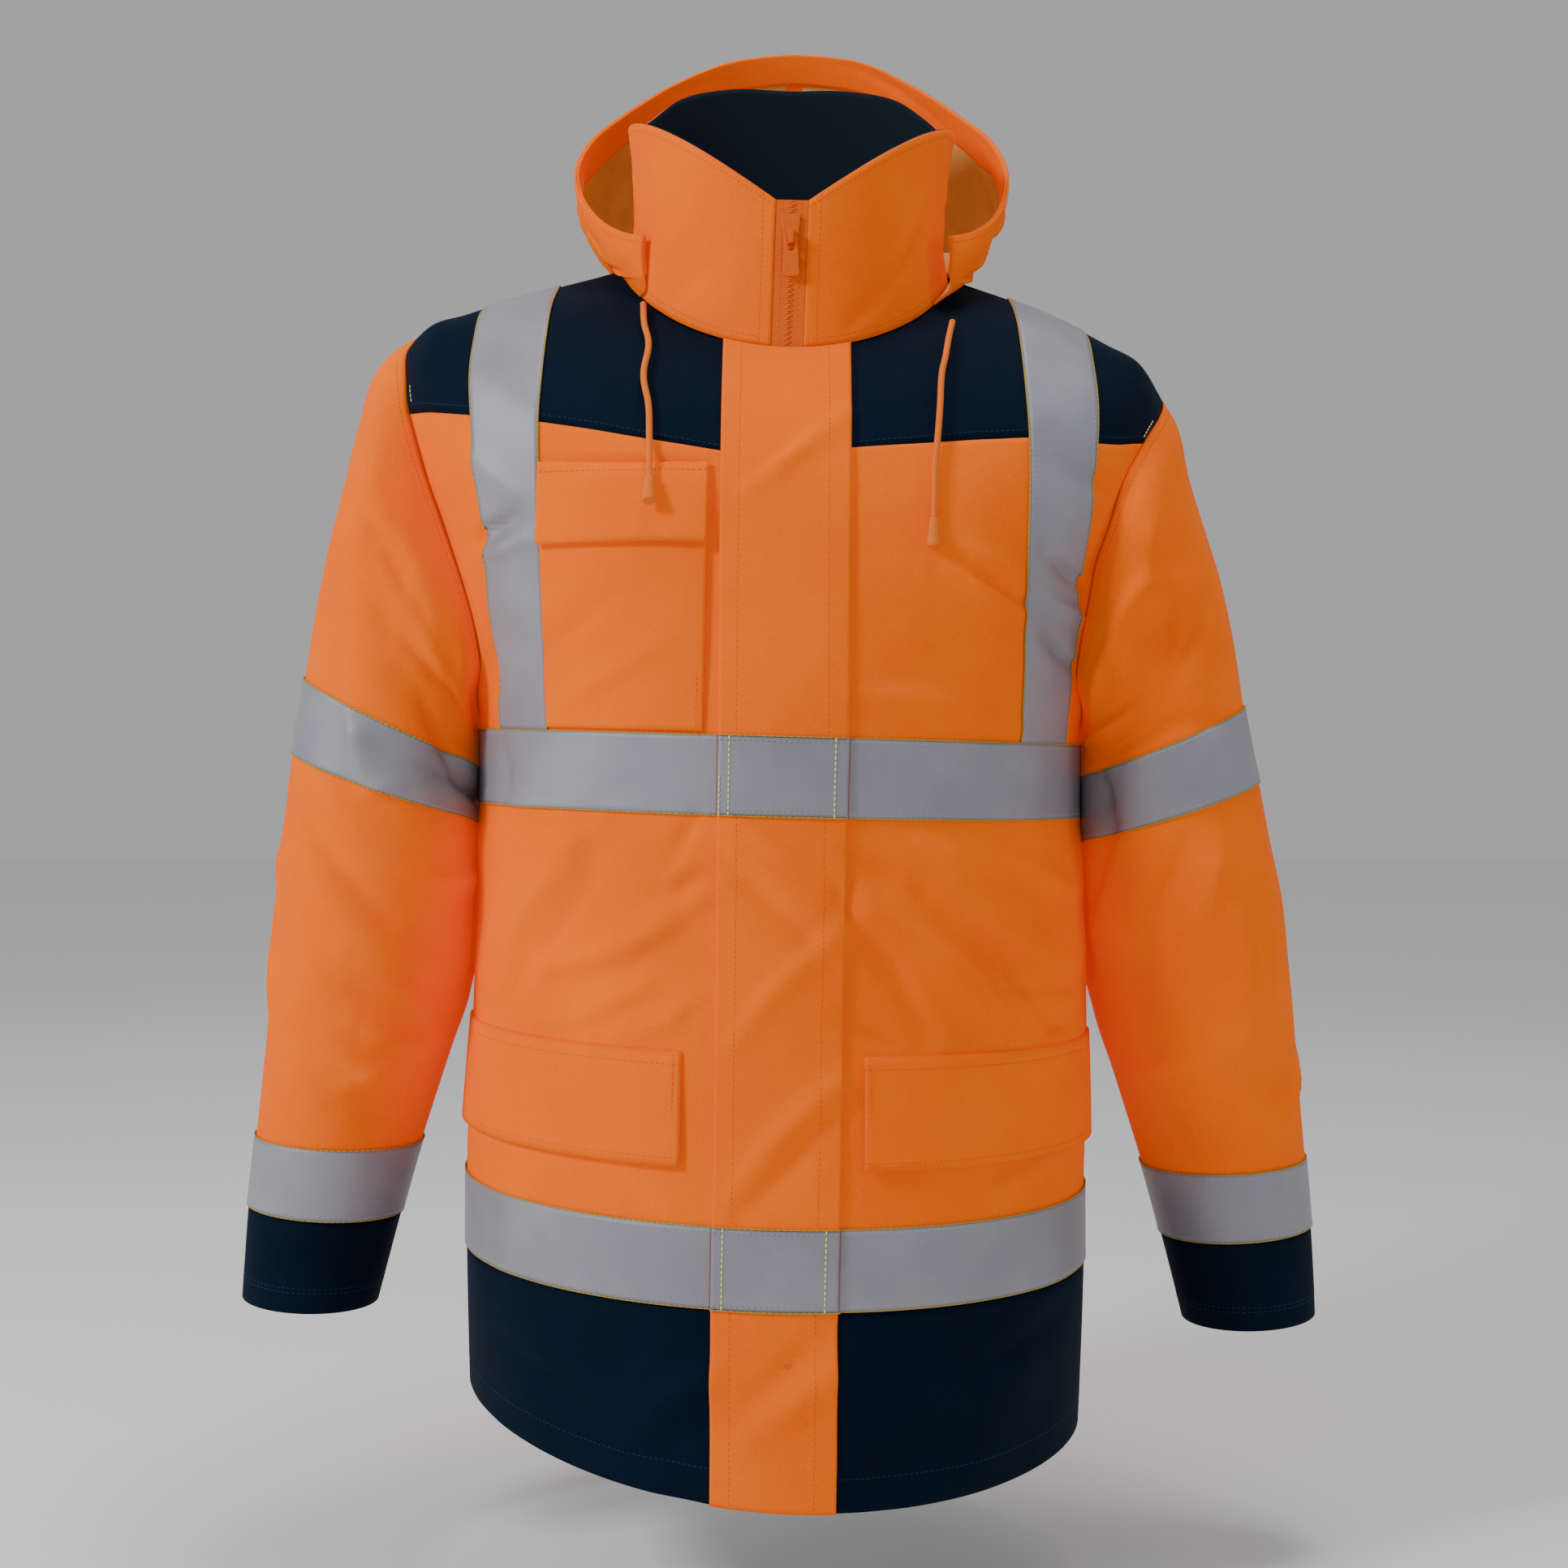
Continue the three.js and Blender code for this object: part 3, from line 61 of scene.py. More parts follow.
# Drawcord routes, in metres, as in the CAD part
CORD_DIAMETER = 0.0042
CORD_ROUTE = {
    "right": [
        (-0.094, -0.0795, -0.030), (-0.092, -0.100, -0.047), (-0.088, -0.1185, -0.064),
        (-0.090, -0.137, -0.088), (-0.086, -0.1498, -0.109), (-0.085, -0.1585, -0.126),
        (-0.0845, -0.1664, -0.141), (-0.084, -0.1756, -0.157),
    ],
    "left": [
        (0.112, -0.0853, -0.043), (0.108, -0.1043, -0.058), (0.105, -0.1173, -0.072),
        (0.102, -0.1276, -0.084), (0.0995, -0.144, -0.109), (0.097, -0.1562, -0.132),
        (0.095, -0.1629, -0.150), (0.0945, -0.1667, -0.165), (0.094, -0.1702, -0.182),
    ],
}

# Body sections from the neck seam to the hem
MIDDLE_Y = -5
BODY_KEYS = ("half_width", "centre_x", "front_y", "back_y", "front_z", "side_z", "back_z", "tilt", "power")
BODY = [
    (113, 2, -122, 72, -68, 5, 50, -0.03, 1.2),
    (160, 1, -146, 108, -100, -8, 18, -0.03, 1.5),
    (212, 0, -163, 134, -137, -27, -35, -0.04, 1.8),
    (258, 0, -174, 148, -172, -53, -85, -0.055, 2),
    (266, 0, -180, 157, -205, -100, -130, -0.05, 2),
    (246, 0, -185, 163, -240, -172, -185, -0.04, 2),
    (224, -2, -189, 166, -280, -245, -245, -0.03, 2),
    (209, -3, -191, 168, -319, -319, -319, -0.027, 2),
    (209, -3, -191, 167, -369, -369, -369, -0.027, 2),
    (212, -2, -190, 164, -450, -450, -450, -0.027, 2),
    (214, -3, -191, 163, -516, -516, -516, -0.027, 2),
    (215, -5, -195, 165, -586, -586, -586, -0.027, 2),
    (215, -6, -198, 167, -621, -621, -621, -0.027, 2),
    (215, -6, -201, 169, -671, -671, -671, -0.027, 2),
    (212, -7, -200, 170, -794, -775, -790, -0.07, 2),
]
CHEST, HEM_TAPE_END, HEM = 7, 13, 14
ROW_TILT = -0.027

# Armhole edges from shoulder to armpit: angles from the front or back centre, in degrees
ARMHOLE = {
    "right_front": (90, 79, 73, 71.5, 70, 67.5, 66, 69, 90),
    "left_front": (90, 67, 57, 57, 58, 60, 62.5, 68, 90),
    "back": (90, 79, 72, 69, 67, 65.5, 65.5, 69, 90),
}
ARMHOLE_TOP = {"right": 3.0, "left": 3.3}
ARMHOLE_FOOT = 6.95

# Lines down the body: distances from the centre line at four levels, and the placket's drift
LINE_LEVELS = (0, 3, 7, 14)
PLACKET_DRIFT = (2, 1, 0, -7)
FRONT_LINES = {
    "zip": (10.5, 10.5, 10.5, 10.5, 1),
    "placket middle": (26, 26, 26, 25, 1),
    "placket": (41.5, 41, 40, 38.5, 1),
    "chest pocket": (49, 48, 50, 50, 0.7),
    "lower flap": (60, 60, 60, 62, 0.5),
    "chest": (84, 80, 78, 80, 0.2),
    "chest outer": (107.5, 107, 105, 108, 0),
    "neck side": (113, 123, 121, 124, 0),
    "beside brace": (135, 140, 137, 138, 0),
    "brace inner": (157, 157, 151, 151, 0),
    "brace middle": (183, 182, 169, 169, 0),
    "brace outer": (209, 206, 187, 187, 0),
}
BACK_LINES = {
    "centre": (0, 0, 0, 0, 0),
    "inner": (42, 42, 42, 42, 0),
    "blade outer": (80, 80, 82, 82, 0),
    "side of neck": (100, 103, 105, 105, 0),
    "neck side": (113, 123, 128, 128, 0),
    "brace inner": (157, 157, 153, 153, 0),
    "brace middle": (183, 182, 173, 173, 0),
    "brace outer": (209, 206, 191, 191, 0),
}
LINES = {"front": FRONT_LINES, "back": BACK_LINES}
SIDE_CELLS = 3

# Rows down the body: height at the front centre and cells from the row before
YOKE_CELLS, HEM_CELLS, UPPER_CELLS = 4, 3, 8
ROWS = {
    "pocket top": (-149, 1),
    "pocket flap end": (-201, 2),
    "chest tape top": (-319, 5),
    "chest tape end": (-369, 2),
    "lower flap top": (-516, 5),
    "lower flap end": (-586, 2),
    "hem tape top": (-621, 1),
    "hem tape end": (-671, 2),
}
BACK_YOKE_Z = -128
FRONT_YOKE_REACH = (10, 42, 158, 213, 256)
FRONT_YOKE_Z = {"right": (-141, -139, -117, -108, -100), "left": (-138, -137, -127, -128, -124)}

# Large folds, as in the CAD part: from x, z to x, z, their width and their depth
FOLDS = {
    "front": [
        (-205, -392, -95, -462, 15, 3.5), (-190, -440, -60, -500, 14, 3),
        (-200, -475, -120, -505, 11, 2.5), (-90, -395, -50, -440, 12, -2.5),
        (205, -400, 100, -462, 15, 3.5), (140, -385, 50, -430, 13, 3),
        (195, -455, 110, -500, 13, 3), (150, -470, 60, -475, 12, -2.5),
        (120, -175, 150, -300, 16, 3), (60, -250, 130, -290, 14, -2),
        (-175, -700, -90, -760, 15, 3.5), (-120, -690, -60, -785, 13, -3),
        (165, -690, 120, -775, 15, 3.5), (80, -700, 60, -780, 14, -3),
        (-200, -180, -178, -205, 9, -4), (205, -205, 165, -250, 11, -4),
    ],
    "back": [
        (-180, -180, -70, -290, 17, 4), (175, -170, 80, -280, 17, 4),
        (-60, -150, 70, -165, 15, -3), (-190, -400, -40, -470, 17, 4.5),
        (190, -410, 50, -455, 16, 4), (-150, -520, 60, -560, 18, -3.5),
        (170, -500, 90, -590, 15, 4), (-120, -690, -90, -785, 17, 4),
        (30, -700, 45, -785, 16, -4), (140, -690, 150, -780, 15, 3.5),
    ],
}

# Sleeve rings from armhole to cuff: outer point, inner point, depth and centre
SLEEVE_KEYS = ("out_x", "out_z", "in_x", "in_z", "depth", "centre_y")
SLEEVE = [
    (262, -52, 206, -319, 64, -5),
    (282, -66, 207, -325, 73, -6),
    (294, -102, 206, -328, 79, -8),
    (303, -138, 204, -331, 84, -9),
    (315, -184, 202, -334, 88, -10),
    (325, -232, 200, -337, 90, -11),
    (332, -277, 198, -341, 91, -12),
    (341, -329, 198, -379, 89, -12),
    (348, -385, 200, -418, 86, -11),
    (354, -445, 207, -462, 81, -9),
    (358, -500, 224, -508, 75, -8),
    (363, -548, 239, -553, 67, -8),
    (368, -594, 254, -600, 60, -9),
    (373, -642, 268, -650, 54, -11),
    (377, -706, 284, -712, 49, -14),
]
SLEEVE_ROWS = {
    "upper tape top": (6, 6),
    "upper tape end": (7, 2),
    "lower tape top": (12, 7),
    "lower tape end": (13, 2),
    "cuff end": (14, 2),
}
SLEEVE_POSE = {"right": (0, 0, 0), "left": (20, 13, 30)}    # drop, tuck, back
ARM_GAP, HEAD_GAP = 5, 0.6
RING_STEP = 45      # millimetres that stand for one ring in the fold tables
SLEEVE_FOLDS = [
    (95, 1.6, 130, 4.2, 15, 4), (60, 2.6, 100, 4.8, 14, -3), (20, 3.4, 70, 4.6, 14, 3),
    (20, 8.4, 95, 9.3, 12, 3.5), (150, 9.1, 60, 9.9, 12, -3.5), (30, 9.6, 110, 10.4, 12, 3.5),
    (140, 10.6, 50, 11.3, 12, 3), (240, 1.8, 215, 4.4, 16, 4), (220, 8.6, 300, 9.5, 13, 4),
    (230, 9.7, 310, 10.5, 12, -3),
]

# Creases: soft troughs and ridges between two places, their width, depth and bend. On the body
# a place is x, z; on a sleeve the turn in degrees from its outer edge and the millimetres below
# its head; on the collar and hood the millimetres round it and below its top edge. Every depth
# is multiplied by CREASE_GAIN.
CREASE_GAIN = 2.7
CREASES = {
    "front": [
        (-137, -399, -186, -482, 15, 2.6, -8), (-122, -412, -166, -474, 10, -1.6, 0),
        (-54, -422, -149, -466, 12, 2.6, 8), (-45, -406, -78, -417, 6, -1.5, 0),
        (-76, -413, -61, -401, 6, 1.1, 0), (-87, -476, -154, -503, 9, 2, 4),
        (-88, -488, -134, -496, 6, -1.3, 0), (-121, -509, -67, -497, 6, 1.5, 0),
        (-56, -485, -77, -497, 6, 1.2, 0), (-181, -419, -198, -477, 9, 1.6, 0),
        (-147, -597, -103, -608, 8, 1.4, 0), (38, -429, 90, -502, 10, -2, 5),
        (54, -425, 148, -512, 13, 2.6, 8), (90, -418, 167, -483, 10, -2.1, 0),
        (114, -410, 188, -466, 12, 2.6, -6), (134, -478, 179, -512, 8, -2.6, 10),
        (136, -473, 187, -492, 8, 2.1, -5), (167, -520, 203, -513, 6, 1.5, 0),
        (38, -496, 82, -514, 8, -1.5, 0), (133, -394, 198, -420, 10, 1.6, 0),
        (136, -605, 167, -595, 8, 1.4, 0), (-28, -392, 36, -433, 8, 1.6, 0),
        (-30, -505, 28, -445, 10, 1.4, 4), (-30, -598, 34, -532, 10, 1.6, 5),
        (-28, -612, 30, -557, 8, -1.2, 0), (-34, -398, 15, -441, 8, -1.3, 0),
        (-150, -147, -56, -149, 7, -1.5, 2), (-22, -165, 37, -117, 8, 1.2, 0),
        (-28, -374, 26, -412, 7, 1.3, 0),
        (116, -207, 150, -232, 7, -1.6, 0), (109, -217, 150, -239, 7, 1.3, 0),
        (103, -196, 142, -215, 9, 1.1, 0), (44, -293, 148, -313, 12, 1.1, 6),
        (90, -384, 125, -402, 8, 1.5, 0), (41, -391, 86, -413, 9, -1.5, 0),
        (147, -398, 186, -420, 8, 1.5, 0), (170, -202, 195, -219, 7, -2.5, 0),
        (172, -256, 187, -270, 6, -2.5, 0), (172, -232, 193, -240, 8, 2, 0),
        (174, -142, 208, -155, 9, -1.3, 0), (-199, -188, -174, -178, 7, -2.5, 0),
        (-194, -199, -167, -193, 8, 1.9, 0), (-195, -250, -189, -287, 7, -1.6, 0),
        (-204, -134, -175, -160, 10, 1.3, 0), (-195, -357, -137, -369, 8, 1.3, 0),
        (-184, -325, -180, -357, 7, -1.3, 0), (-149, -394, -117, -374, 10, 1.6, 0),
        (-54, -372, -68, -392, 7, -1.4, 0), (-106, -235, -148, -265, 9, -1, 0),
        (-73, -263, -137, -298, 10, 1, 0), (-96, -746, -50, -714, 14, 2.6, 0),
        (-170, -718, -108, -745, 12, -2.1, 0), (51, -755, 128, -718, 16, 2.6, 6),
        (82, -733, 170, -700, 12, -2, 0), (-22, -745, 28, -710, 10, 1.8, 0),
        (-20, -722, 25, -684, 10, -1.5, 0),
    ],
    "back": [
        (-175, -205, -105, -262, 11, 2.4, 6), (-160, -232, -88, -305, 9, -1.8, 0),
        (-188, -262, -150, -300, 8, 1.7, 0), (168, -198, 112, -275, 12, 2.4, -7),
        (184, -245, 138, -298, 9, -1.9, 0), (-70, -92, 20, -108, 12, 1.4, 5),
        (28, -76, 118, -98, 11, -1.3, 0), (-128, -150, -40, -205, 13, 1.5, 0),
        (140, -160, 60, -230, 12, 1.4, 8), (-192, -385, -112, -440, 12, 2.5, -6),
        (-172, -420, -66, -492, 10, -2, 0), (-200, -455, -142, -512, 9, 1.9, 0),
        (196, -392, 118, -452, 13, 2.6, 7), (182, -434, 92, -478, 9, -2, 0),
        (200, -480, 150, -540, 9, 1.8, -4), (-58, -402, 34, -424, 11, 1.4, 5),
        (60, -505, -34, -545, 13, 1.8, -6), (-110, -560, -20, -600, 11, 1.5, 0),
        (188, -560, 118, -602, 9, 1.6, 0), (-168, -575, -124, -605, 8, -1.4, 0),
        (-188, -700, -134, -752, 12, 2.2, 5), (-92, -696, -70, -762, 11, -1.7, 0),
        (16, -702, 62, -758, 13, 2.1, 0), (96, -694, 158, -748, 12, -1.9, 5),
        (-38, -330, 58, -348, 9, 0.9, 0), (-162, -332, -96, -352, 8, 0.9, 0),
    ],
    "sleeve_right": [
        (38, 56, 78, 36, 14, 1.5, 0), (64, 60, 96, 53, 12, -1.2, 0), (55, 129, 105, 96, 11, 1.5, 4),
        (88, 92, 125, 71, 9, -1.5, 0), (116, 121, 134, 170, 10, -2.5, 3), (74, 158, 82, 184, 10, 1.8, 0),
        (58, 203, 80, 223, 8, 1.5, 0), (84, 208, 113, 187, 7, 1.3, -4), (125, 173, 170, 184, 9, -2, 0),
        (45, 243, 123, 318, 12, 2.5, 6), (58, 238, 100, 286, 8, -1.6, 0), (84, 313, 131, 350, 10, 2.2, -4),
        (78, 334, 118, 355, 8, -1.8, 0), (94, 360, 143, 375, 9, 2, 5), (55, 360, 109, 395, 10, 2, -5),
        (100, 404, 137, 385, 9, 1.8, 0), (45, 390, 100, 424, 10, 2, 0), (238, 60, 262, 120, 12, 2, 6),
        (268, 40, 300, 96, 11, -1.6, 0), (226, 150, 262, 176, 10, 1.8, 0), (232, 236, 300, 300, 12, 2.4, -6),
        (222, 262, 268, 330, 9, -1.8, 0), (240, 318, 312, 352, 10, 2.1, 4), (228, 352, 290, 392, 9, 1.9, 0),
        (300, 372, 340, 420, 10, 1.7, 0), (8, 300, 36, 372, 10, 1.4, 0), (352, 220, 22, 262, 10, 1.2, 0),
    ],
    "sleeve_left": [
        (122, 28, 72, 62, 12, 2.6, 8), (76, 62, 84, 85, 8, -2, 0), (82, 98, 56, 85, 8, -1.6, 0),
        (150, 70, 106, 102, 10, 1.6, 0), (120, 128, 72, 140, 8, -1.6, 5), (59, 28, 78, 38, 11, 1.5, 0),
        (91, 215, 115, 297, 10, -2, -6), (74, 220, 84, 258, 9, 1.8, 0), (70, 236, 74, 356, 13, 2.2, 6),
        (39, 230, 56, 341, 10, 1.8, 0), (135, 199, 152, 247, 9, -1.6, 0), (145, 376, 89, 361, 10, 1.5, 0),
        (138, 151, 132, 186, 9, -2.4, 0), (242, 48, 280, 112, 12, 2.1, -6), (230, 118, 270, 150, 10, -1.7, 0),
        (228, 226, 296, 288, 12, 2.4, 6), (240, 262, 312, 330, 9, -1.8, 0), (226, 330, 300, 362, 10, 2, 0),
        (248, 372, 330, 408, 10, 1.8, -5), (300, 200, 336, 262, 10, 1.4, 0), (10, 380, 60, 420, 9, 1.5, 0),
    ],
    "collar": [
        (118, 30, 158, 92, 12, 1.2, 4), (60, 44, 104, 78, 10, 1, 0), (170, 14, 196, 84, 9, 1, 0),
        (520, 24, 548, 90, 11, 1.3, -4), (584, 38, 628, 80, 10, 1, 0), (492, 14, 500, 82, 9, -0.9, 0),
        (40, 60, 92, 104, 9, -0.9, 0), (604, 70, 660, 96, 9, -0.9, 0),
    ],
    "hood": [
        (40, 26, 92, 44, 9, 1.9, 0), (20, 70, 58, 96, 8, 1.3, 0), (96, 62, 150, 92, 11, -1.6, 5),
        (150, 30, 176, 120, 12, 1.8, 0), (214, 60, 250, 172, 14, 2.4, 8), (268, 96, 300, 184, 12, -1.9, 0),
        (330, 70, 360, 176, 14, 1.9, -6), (410, 90, 392, 186, 12, -1.6, 0), (468, 62, 440, 170, 14, 2.4, 7),
        (520, 88, 500, 184, 12, -1.8, 0), (560, 30, 584, 110, 12, 1.9, 0), (628, 52, 584, 96, 11, -1.5, 5),
        (684, 28, 636, 48, 9, 1.9, 0), (704, 74, 668, 98, 8, 1.3, 0), (240, 8, 300, 18, 8, 0.9, 0),
        (420, 6, 500, 18, 8, 0.9, 0),
    ],
}

# Collar's top ring and hood profiles
COLLAR_TOP = dict(half_width=114.5, centre_x=5.5, front_y=-127, back_y=82, front_z=20, side_z=103, back_z=160)
COLLAR_TILT, COLLAR_LIFT, COLLAR_WAIST, COLLAR_CELLS = -0.02, 1.2, 7, 4
HOOD_CENTRE_Y = -10
HOOD_KEYS = ("turn", "shift", "inner_r", "inner_z", "foot_r", "foot_z", "bulge_r", "bulge_z", "rim_r",
             "rim_z", "facing")
HOOD = [
    (60, 9, 119.5, -19, 120, -9, 121, 4, 120, 18, 26),
    (69, 9, 122, -11, 124, -2, 128, 10, 126, 24, 28),
    (80, 8, 124, 2, 129, 10, 136, 22, 141, 38, 32),
    (93, 6, 126, 16, 134, 26, 147, 44, 152, 66, 36),
    (108, 5, 130, 27, 143, 32, 161, 62, 161, 104, 36),
    (125, 5, 132, 37, 157, 24, 184, 70, 160, 140, 30),
    (143, 6, 134, 34, 172, -16, 208, 56, 153, 175, 25),
    (162, 8, 136, 28, 187, -52, 224, 50, 147, 200, 23),
    (180, 8, 137, 28, 191, -64, 229, 50, 145, 206, 22),
]
HOOD_STAND, STRIP_START, HOOD_COLUMNS, BAG_ROWS, FACING_ROWS = 2.2, 7.72, 9, 8, 2
HOOD_ROWS = BAG_ROWS + FACING_ROWS


def mix(a, b, t):
    return a + (b - a) * t


def smoothstep(low, high, value):
    t = np.clip((value - low) / (high - low), 0, 1)
    return t * t * (3 - 2 * t)


def curve(values, position):
    """Smooth curve through a column of a table that never overshoots its values."""
    values = np.asarray(values, float)
    rise = np.diff(values)
    slope = np.zeros(len(values))
    steepest = 3 * np.minimum(np.abs(rise[:-1]), np.abs(rise[1:]))
    middle = np.clip((rise[:-1] + rise[1:]) / 2, -steepest, steepest)
    slope[1:-1] = np.where(rise[:-1] * rise[1:] <= 0, 0, middle)
    position = np.asarray(position, float)
    start = np.clip(np.floor(position).astype(int), 0, len(values) - 2)
    t = position - start
    a, b, m, n = values[start], values[start + 1], slope[start], slope[start + 1]
    return a + t * (m + t * (3 * (b - a) - 2 * m - n + t * (m + n - 2 * (b - a))))


def reader(keys, table):
    columns = {key: [row[i] for row in table] for i, key in enumerate(keys)}
    return lambda key, position: curve(columns[key], position)


body_value = reader(BODY_KEYS, BODY)
sleeve_value = reader(SLEEVE_KEYS, SLEEVE)
hood_value = reader(HOOD_KEYS, HOOD)


def stack(x, y, z):
    return np.stack(np.broadcast_arrays(x, y, z), axis=-1).astype(float)


def unit(vectors):
    return vectors / np.maximum(np.linalg.norm(vectors, axis=-1, keepdims=True), 1e-9)


def body_point(angle, level):
    across, along = np.sin(angle), np.cos(angle)
    ahead = along > 0
    end_y = np.where(ahead, body_value("front_y", level), body_value("back_y", level))
    end_z = np.where(ahead, body_value("front_z", level), body_value("back_z", level))
    x = body_value("centre_x", level) + body_value("half_width", level) * across
    y = MIDDLE_Y + (end_y - MIDDLE_Y) * np.abs(along)
    fall = np.abs(along) ** body_value("power", level)
    z = mix(body_value("side_z", level), end_z, fall) + body_value("tilt", level) * x
    return stack(x, y, z)


def body_normal(angle, level):
    step = 0.01
    around = body_point(angle + step, level) - body_point(angle - step, level)
    low, high = np.maximum(level - step, 0), np.minimum(level + step, HEM)
    down = body_point(angle, high) - body_point(angle, low)
    return unit(np.cross(down, around))


def armhole_angle(half, side, level):
    top = ARMHOLE_TOP[side]
    share = np.clip((level - top) / (ARMHOLE_FOOT - top), 0, 1)
    values = ARMHOLE["back" if half == "back" else side + "_front"]
    return np.radians(curve(values, share * (len(values) - 1)))


def reach_angle(side, reach, level):
    offset = reach - SIDES[side] * body_value("centre_x", level)
    return np.arcsin(np.clip(offset / body_value("half_width", level), -1, 1))


def edge_reach(side, level):
    return body_value("half_width", level) + SIDES[side] * body_value("centre_x", level)


def line_reach(half, side, index, level):
    lines = list(LINES[half].values())
    line = lines[min(index, len(lines) - 1)]
    drift = SIDES[side] * line[4] * np.interp(level, LINE_LEVELS, PLACKET_DRIFT)
    reach = np.interp(level, LINE_LEVELS, line[:4]) + drift
    if index < len(lines):
        return reach
    share = (index - len(lines) + 1) / SIDE_CELLS
    top = ARMHOLE_TOP[side]
    lower = (SIDES[side] * body_value("centre_x", level)
             + body_value("half_width", level) * np.sin(armhole_angle(half, side, level)))
    return mix(reach, np.where(level < top, edge_reach(side, top), lower), share)


def line_angle(half, side, index, level):
    level = np.asarray(level, float)
    count = len(LINES[half])
    angle = reach_angle(side, line_reach(half, side, index, level), level)
    if index >= count:
        share = (index - count + 1) / SIDE_CELLS
        inner = reach_angle(side, line_reach(half, side, count - 1, level), level)
        outer = np.where(level >= ARMHOLE_FOOT, QUARTER, armhole_angle(half, side, level))
        angle = mix(angle, mix(inner, outer, share), smoothstep(5.5, 7, level))
        if share == 1:
            angle = np.where(level >= ARMHOLE_TOP[side], outer, angle)
    return SIDES[side] * (angle if half == "front" else math.pi - angle)


def solve(measure, target, low, high):
    """Where a falling measure reaches a target."""
    low, high = np.broadcast_arrays(np.asarray(low, float), np.asarray(high, float))
    low, high = low.copy(), high.copy()
    for _ in range(30):
        middle = (low + high) / 2
        above = measure(middle) > target
        low, high = np.where(above, middle, low), np.where(above, high, middle)
    return (low + high) / 2


def top_level(half, side, index):
    spare = lambda level: line_reach(half, side, index, level) - edge_reach(side, level)
    return 0.0 if spare(0.0) < 0.01 else float(solve(spare, 0, 0, ARMHOLE_TOP[side]))


def level_at_height(half, side, index, z):
    def height(level):
        point = body_point(line_angle(half, side, index, level), level)
        return point[..., 2] - ROW_TILT * point[..., 0]
    z = np.asarray(z, float)
    return solve(height, z, np.full(z.shape, top_level(half, side, index)), HEM)


def yoke_height(half, side, index):
    if half == "back":
        return BACK_YOKE_Z
    reach = float(line_reach(half, side, index, 3.5))
    return float(np.interp(reach, FRONT_YOKE_REACH, FRONT_YOKE_Z[side])) - ROW_TILT * SIDES[side] * reach


def row_levels(half, side, index):
    yoke = yoke_height(half, side, index)
    heights, height = [], yoke
    rows = {"chest tape top": (-319, UPPER_CELLS)} if half == "back" else {}
    rows.update({k: v for k, v in ROWS.items() if half == "front" or v[0] < -319})
    for z, cells in rows.values():
        heights += [mix(height, z, (step + 1) / cells) for step in range(cells)]
        height = z
    levels = level_at_height(half, side, index, np.array([yoke] + heights))
    top = top_level(half, side, index)
    yoke_levels = [mix(top, levels[0], (row / YOKE_CELLS) ** 1.6) for row in range(YOKE_CELLS)]
    hem = [mix(levels[-1], HEM, (step + 1) / HEM_CELLS) for step in range(HEM_CELLS)]
    return np.array(yoke_levels + list(levels) + hem)


def fold_height(x, z, folds):
    height = np.zeros(np.shape(x))
    for x1, z1, x2, z2, width, depth in folds:
        dx, dz = x2 - x1, z2 - z1
        share = ((x - x1) * dx + (z - z1) * dz) / (dx * dx + dz * dz)
        along = np.clip(share, 0, 1)
        away = np.hypot(x - x1 - along * dx, z - z1 - along * dz)
        fade = 0.35 + 0.65 * np.sin(math.pi * np.clip(share, 0.12, 0.88))
        height += depth * fade * np.exp(-((away / width) ** 2))
    return height


def body_half(half, side):
    """Lattice of one half front or back: rows from neck to hem, columns from centre to side."""
    columns = []
    for index in range(len(LINES[half]) + SIDE_CELLS):
        levels = row_levels(half, side, index)
        angle = line_angle(half, side, index, levels)
        point, normal = body_point(angle, levels), body_normal(angle, levels)
        lift = fold_height(point[..., 0], point[..., 2], FOLDS[half])
        columns.append(np.concatenate([point + normal * lift[..., None], normal], axis=-1))
    return np.stack(columns, axis=1)


body = {half + "_" + side: body_half(half, side) for half in LINES for side in SIDES}
whole_back = np.concatenate([body["back_right"][:, ::-1], body["back_left"][:, 1:]], axis=1)
LAST = {half: len(LINES[half]) + SIDE_CELLS - 1 for half in LINES}
row_at = {"neck": 0, "yoke": YOKE_CELLS}
for name, (_, cells) in ROWS.items():
    row_at[name] = max(row_at.values()) + cells
row_at["hem"] = row_at["hem tape end"] + HEM_CELLS


def sleeve_ring(side, ring):
    drop, tuck, back = SLEEVE_POSE[side]
    sign = SIDES[side]
    tuck = tuck * smoothstep(0, 1.5, ring) * (1 - smoothstep(6, 10, ring))
    drop = drop * smoothstep(0, 2.5, ring)
    outer = stack(sign * (sleeve_value("out_x", ring) - tuck), 0, sleeve_value("out_z", ring) - drop)
    inner = stack(sign * sleeve_value("in_x", ring), 0,
                  sleeve_value("in_z", ring) - drop * smoothstep(4, 9, ring))
    centre = (outer + inner) / 2
    centre[..., 1] = sleeve_value("centre_y", ring) + back * (ring / (len(SLEEVE) - 1)) ** 3
    half = (outer - inner) / 2
    across = unit(stack(half[..., 2], 0, -half[..., 0])) * sign
    return centre, half, sleeve_value("depth", ring), across


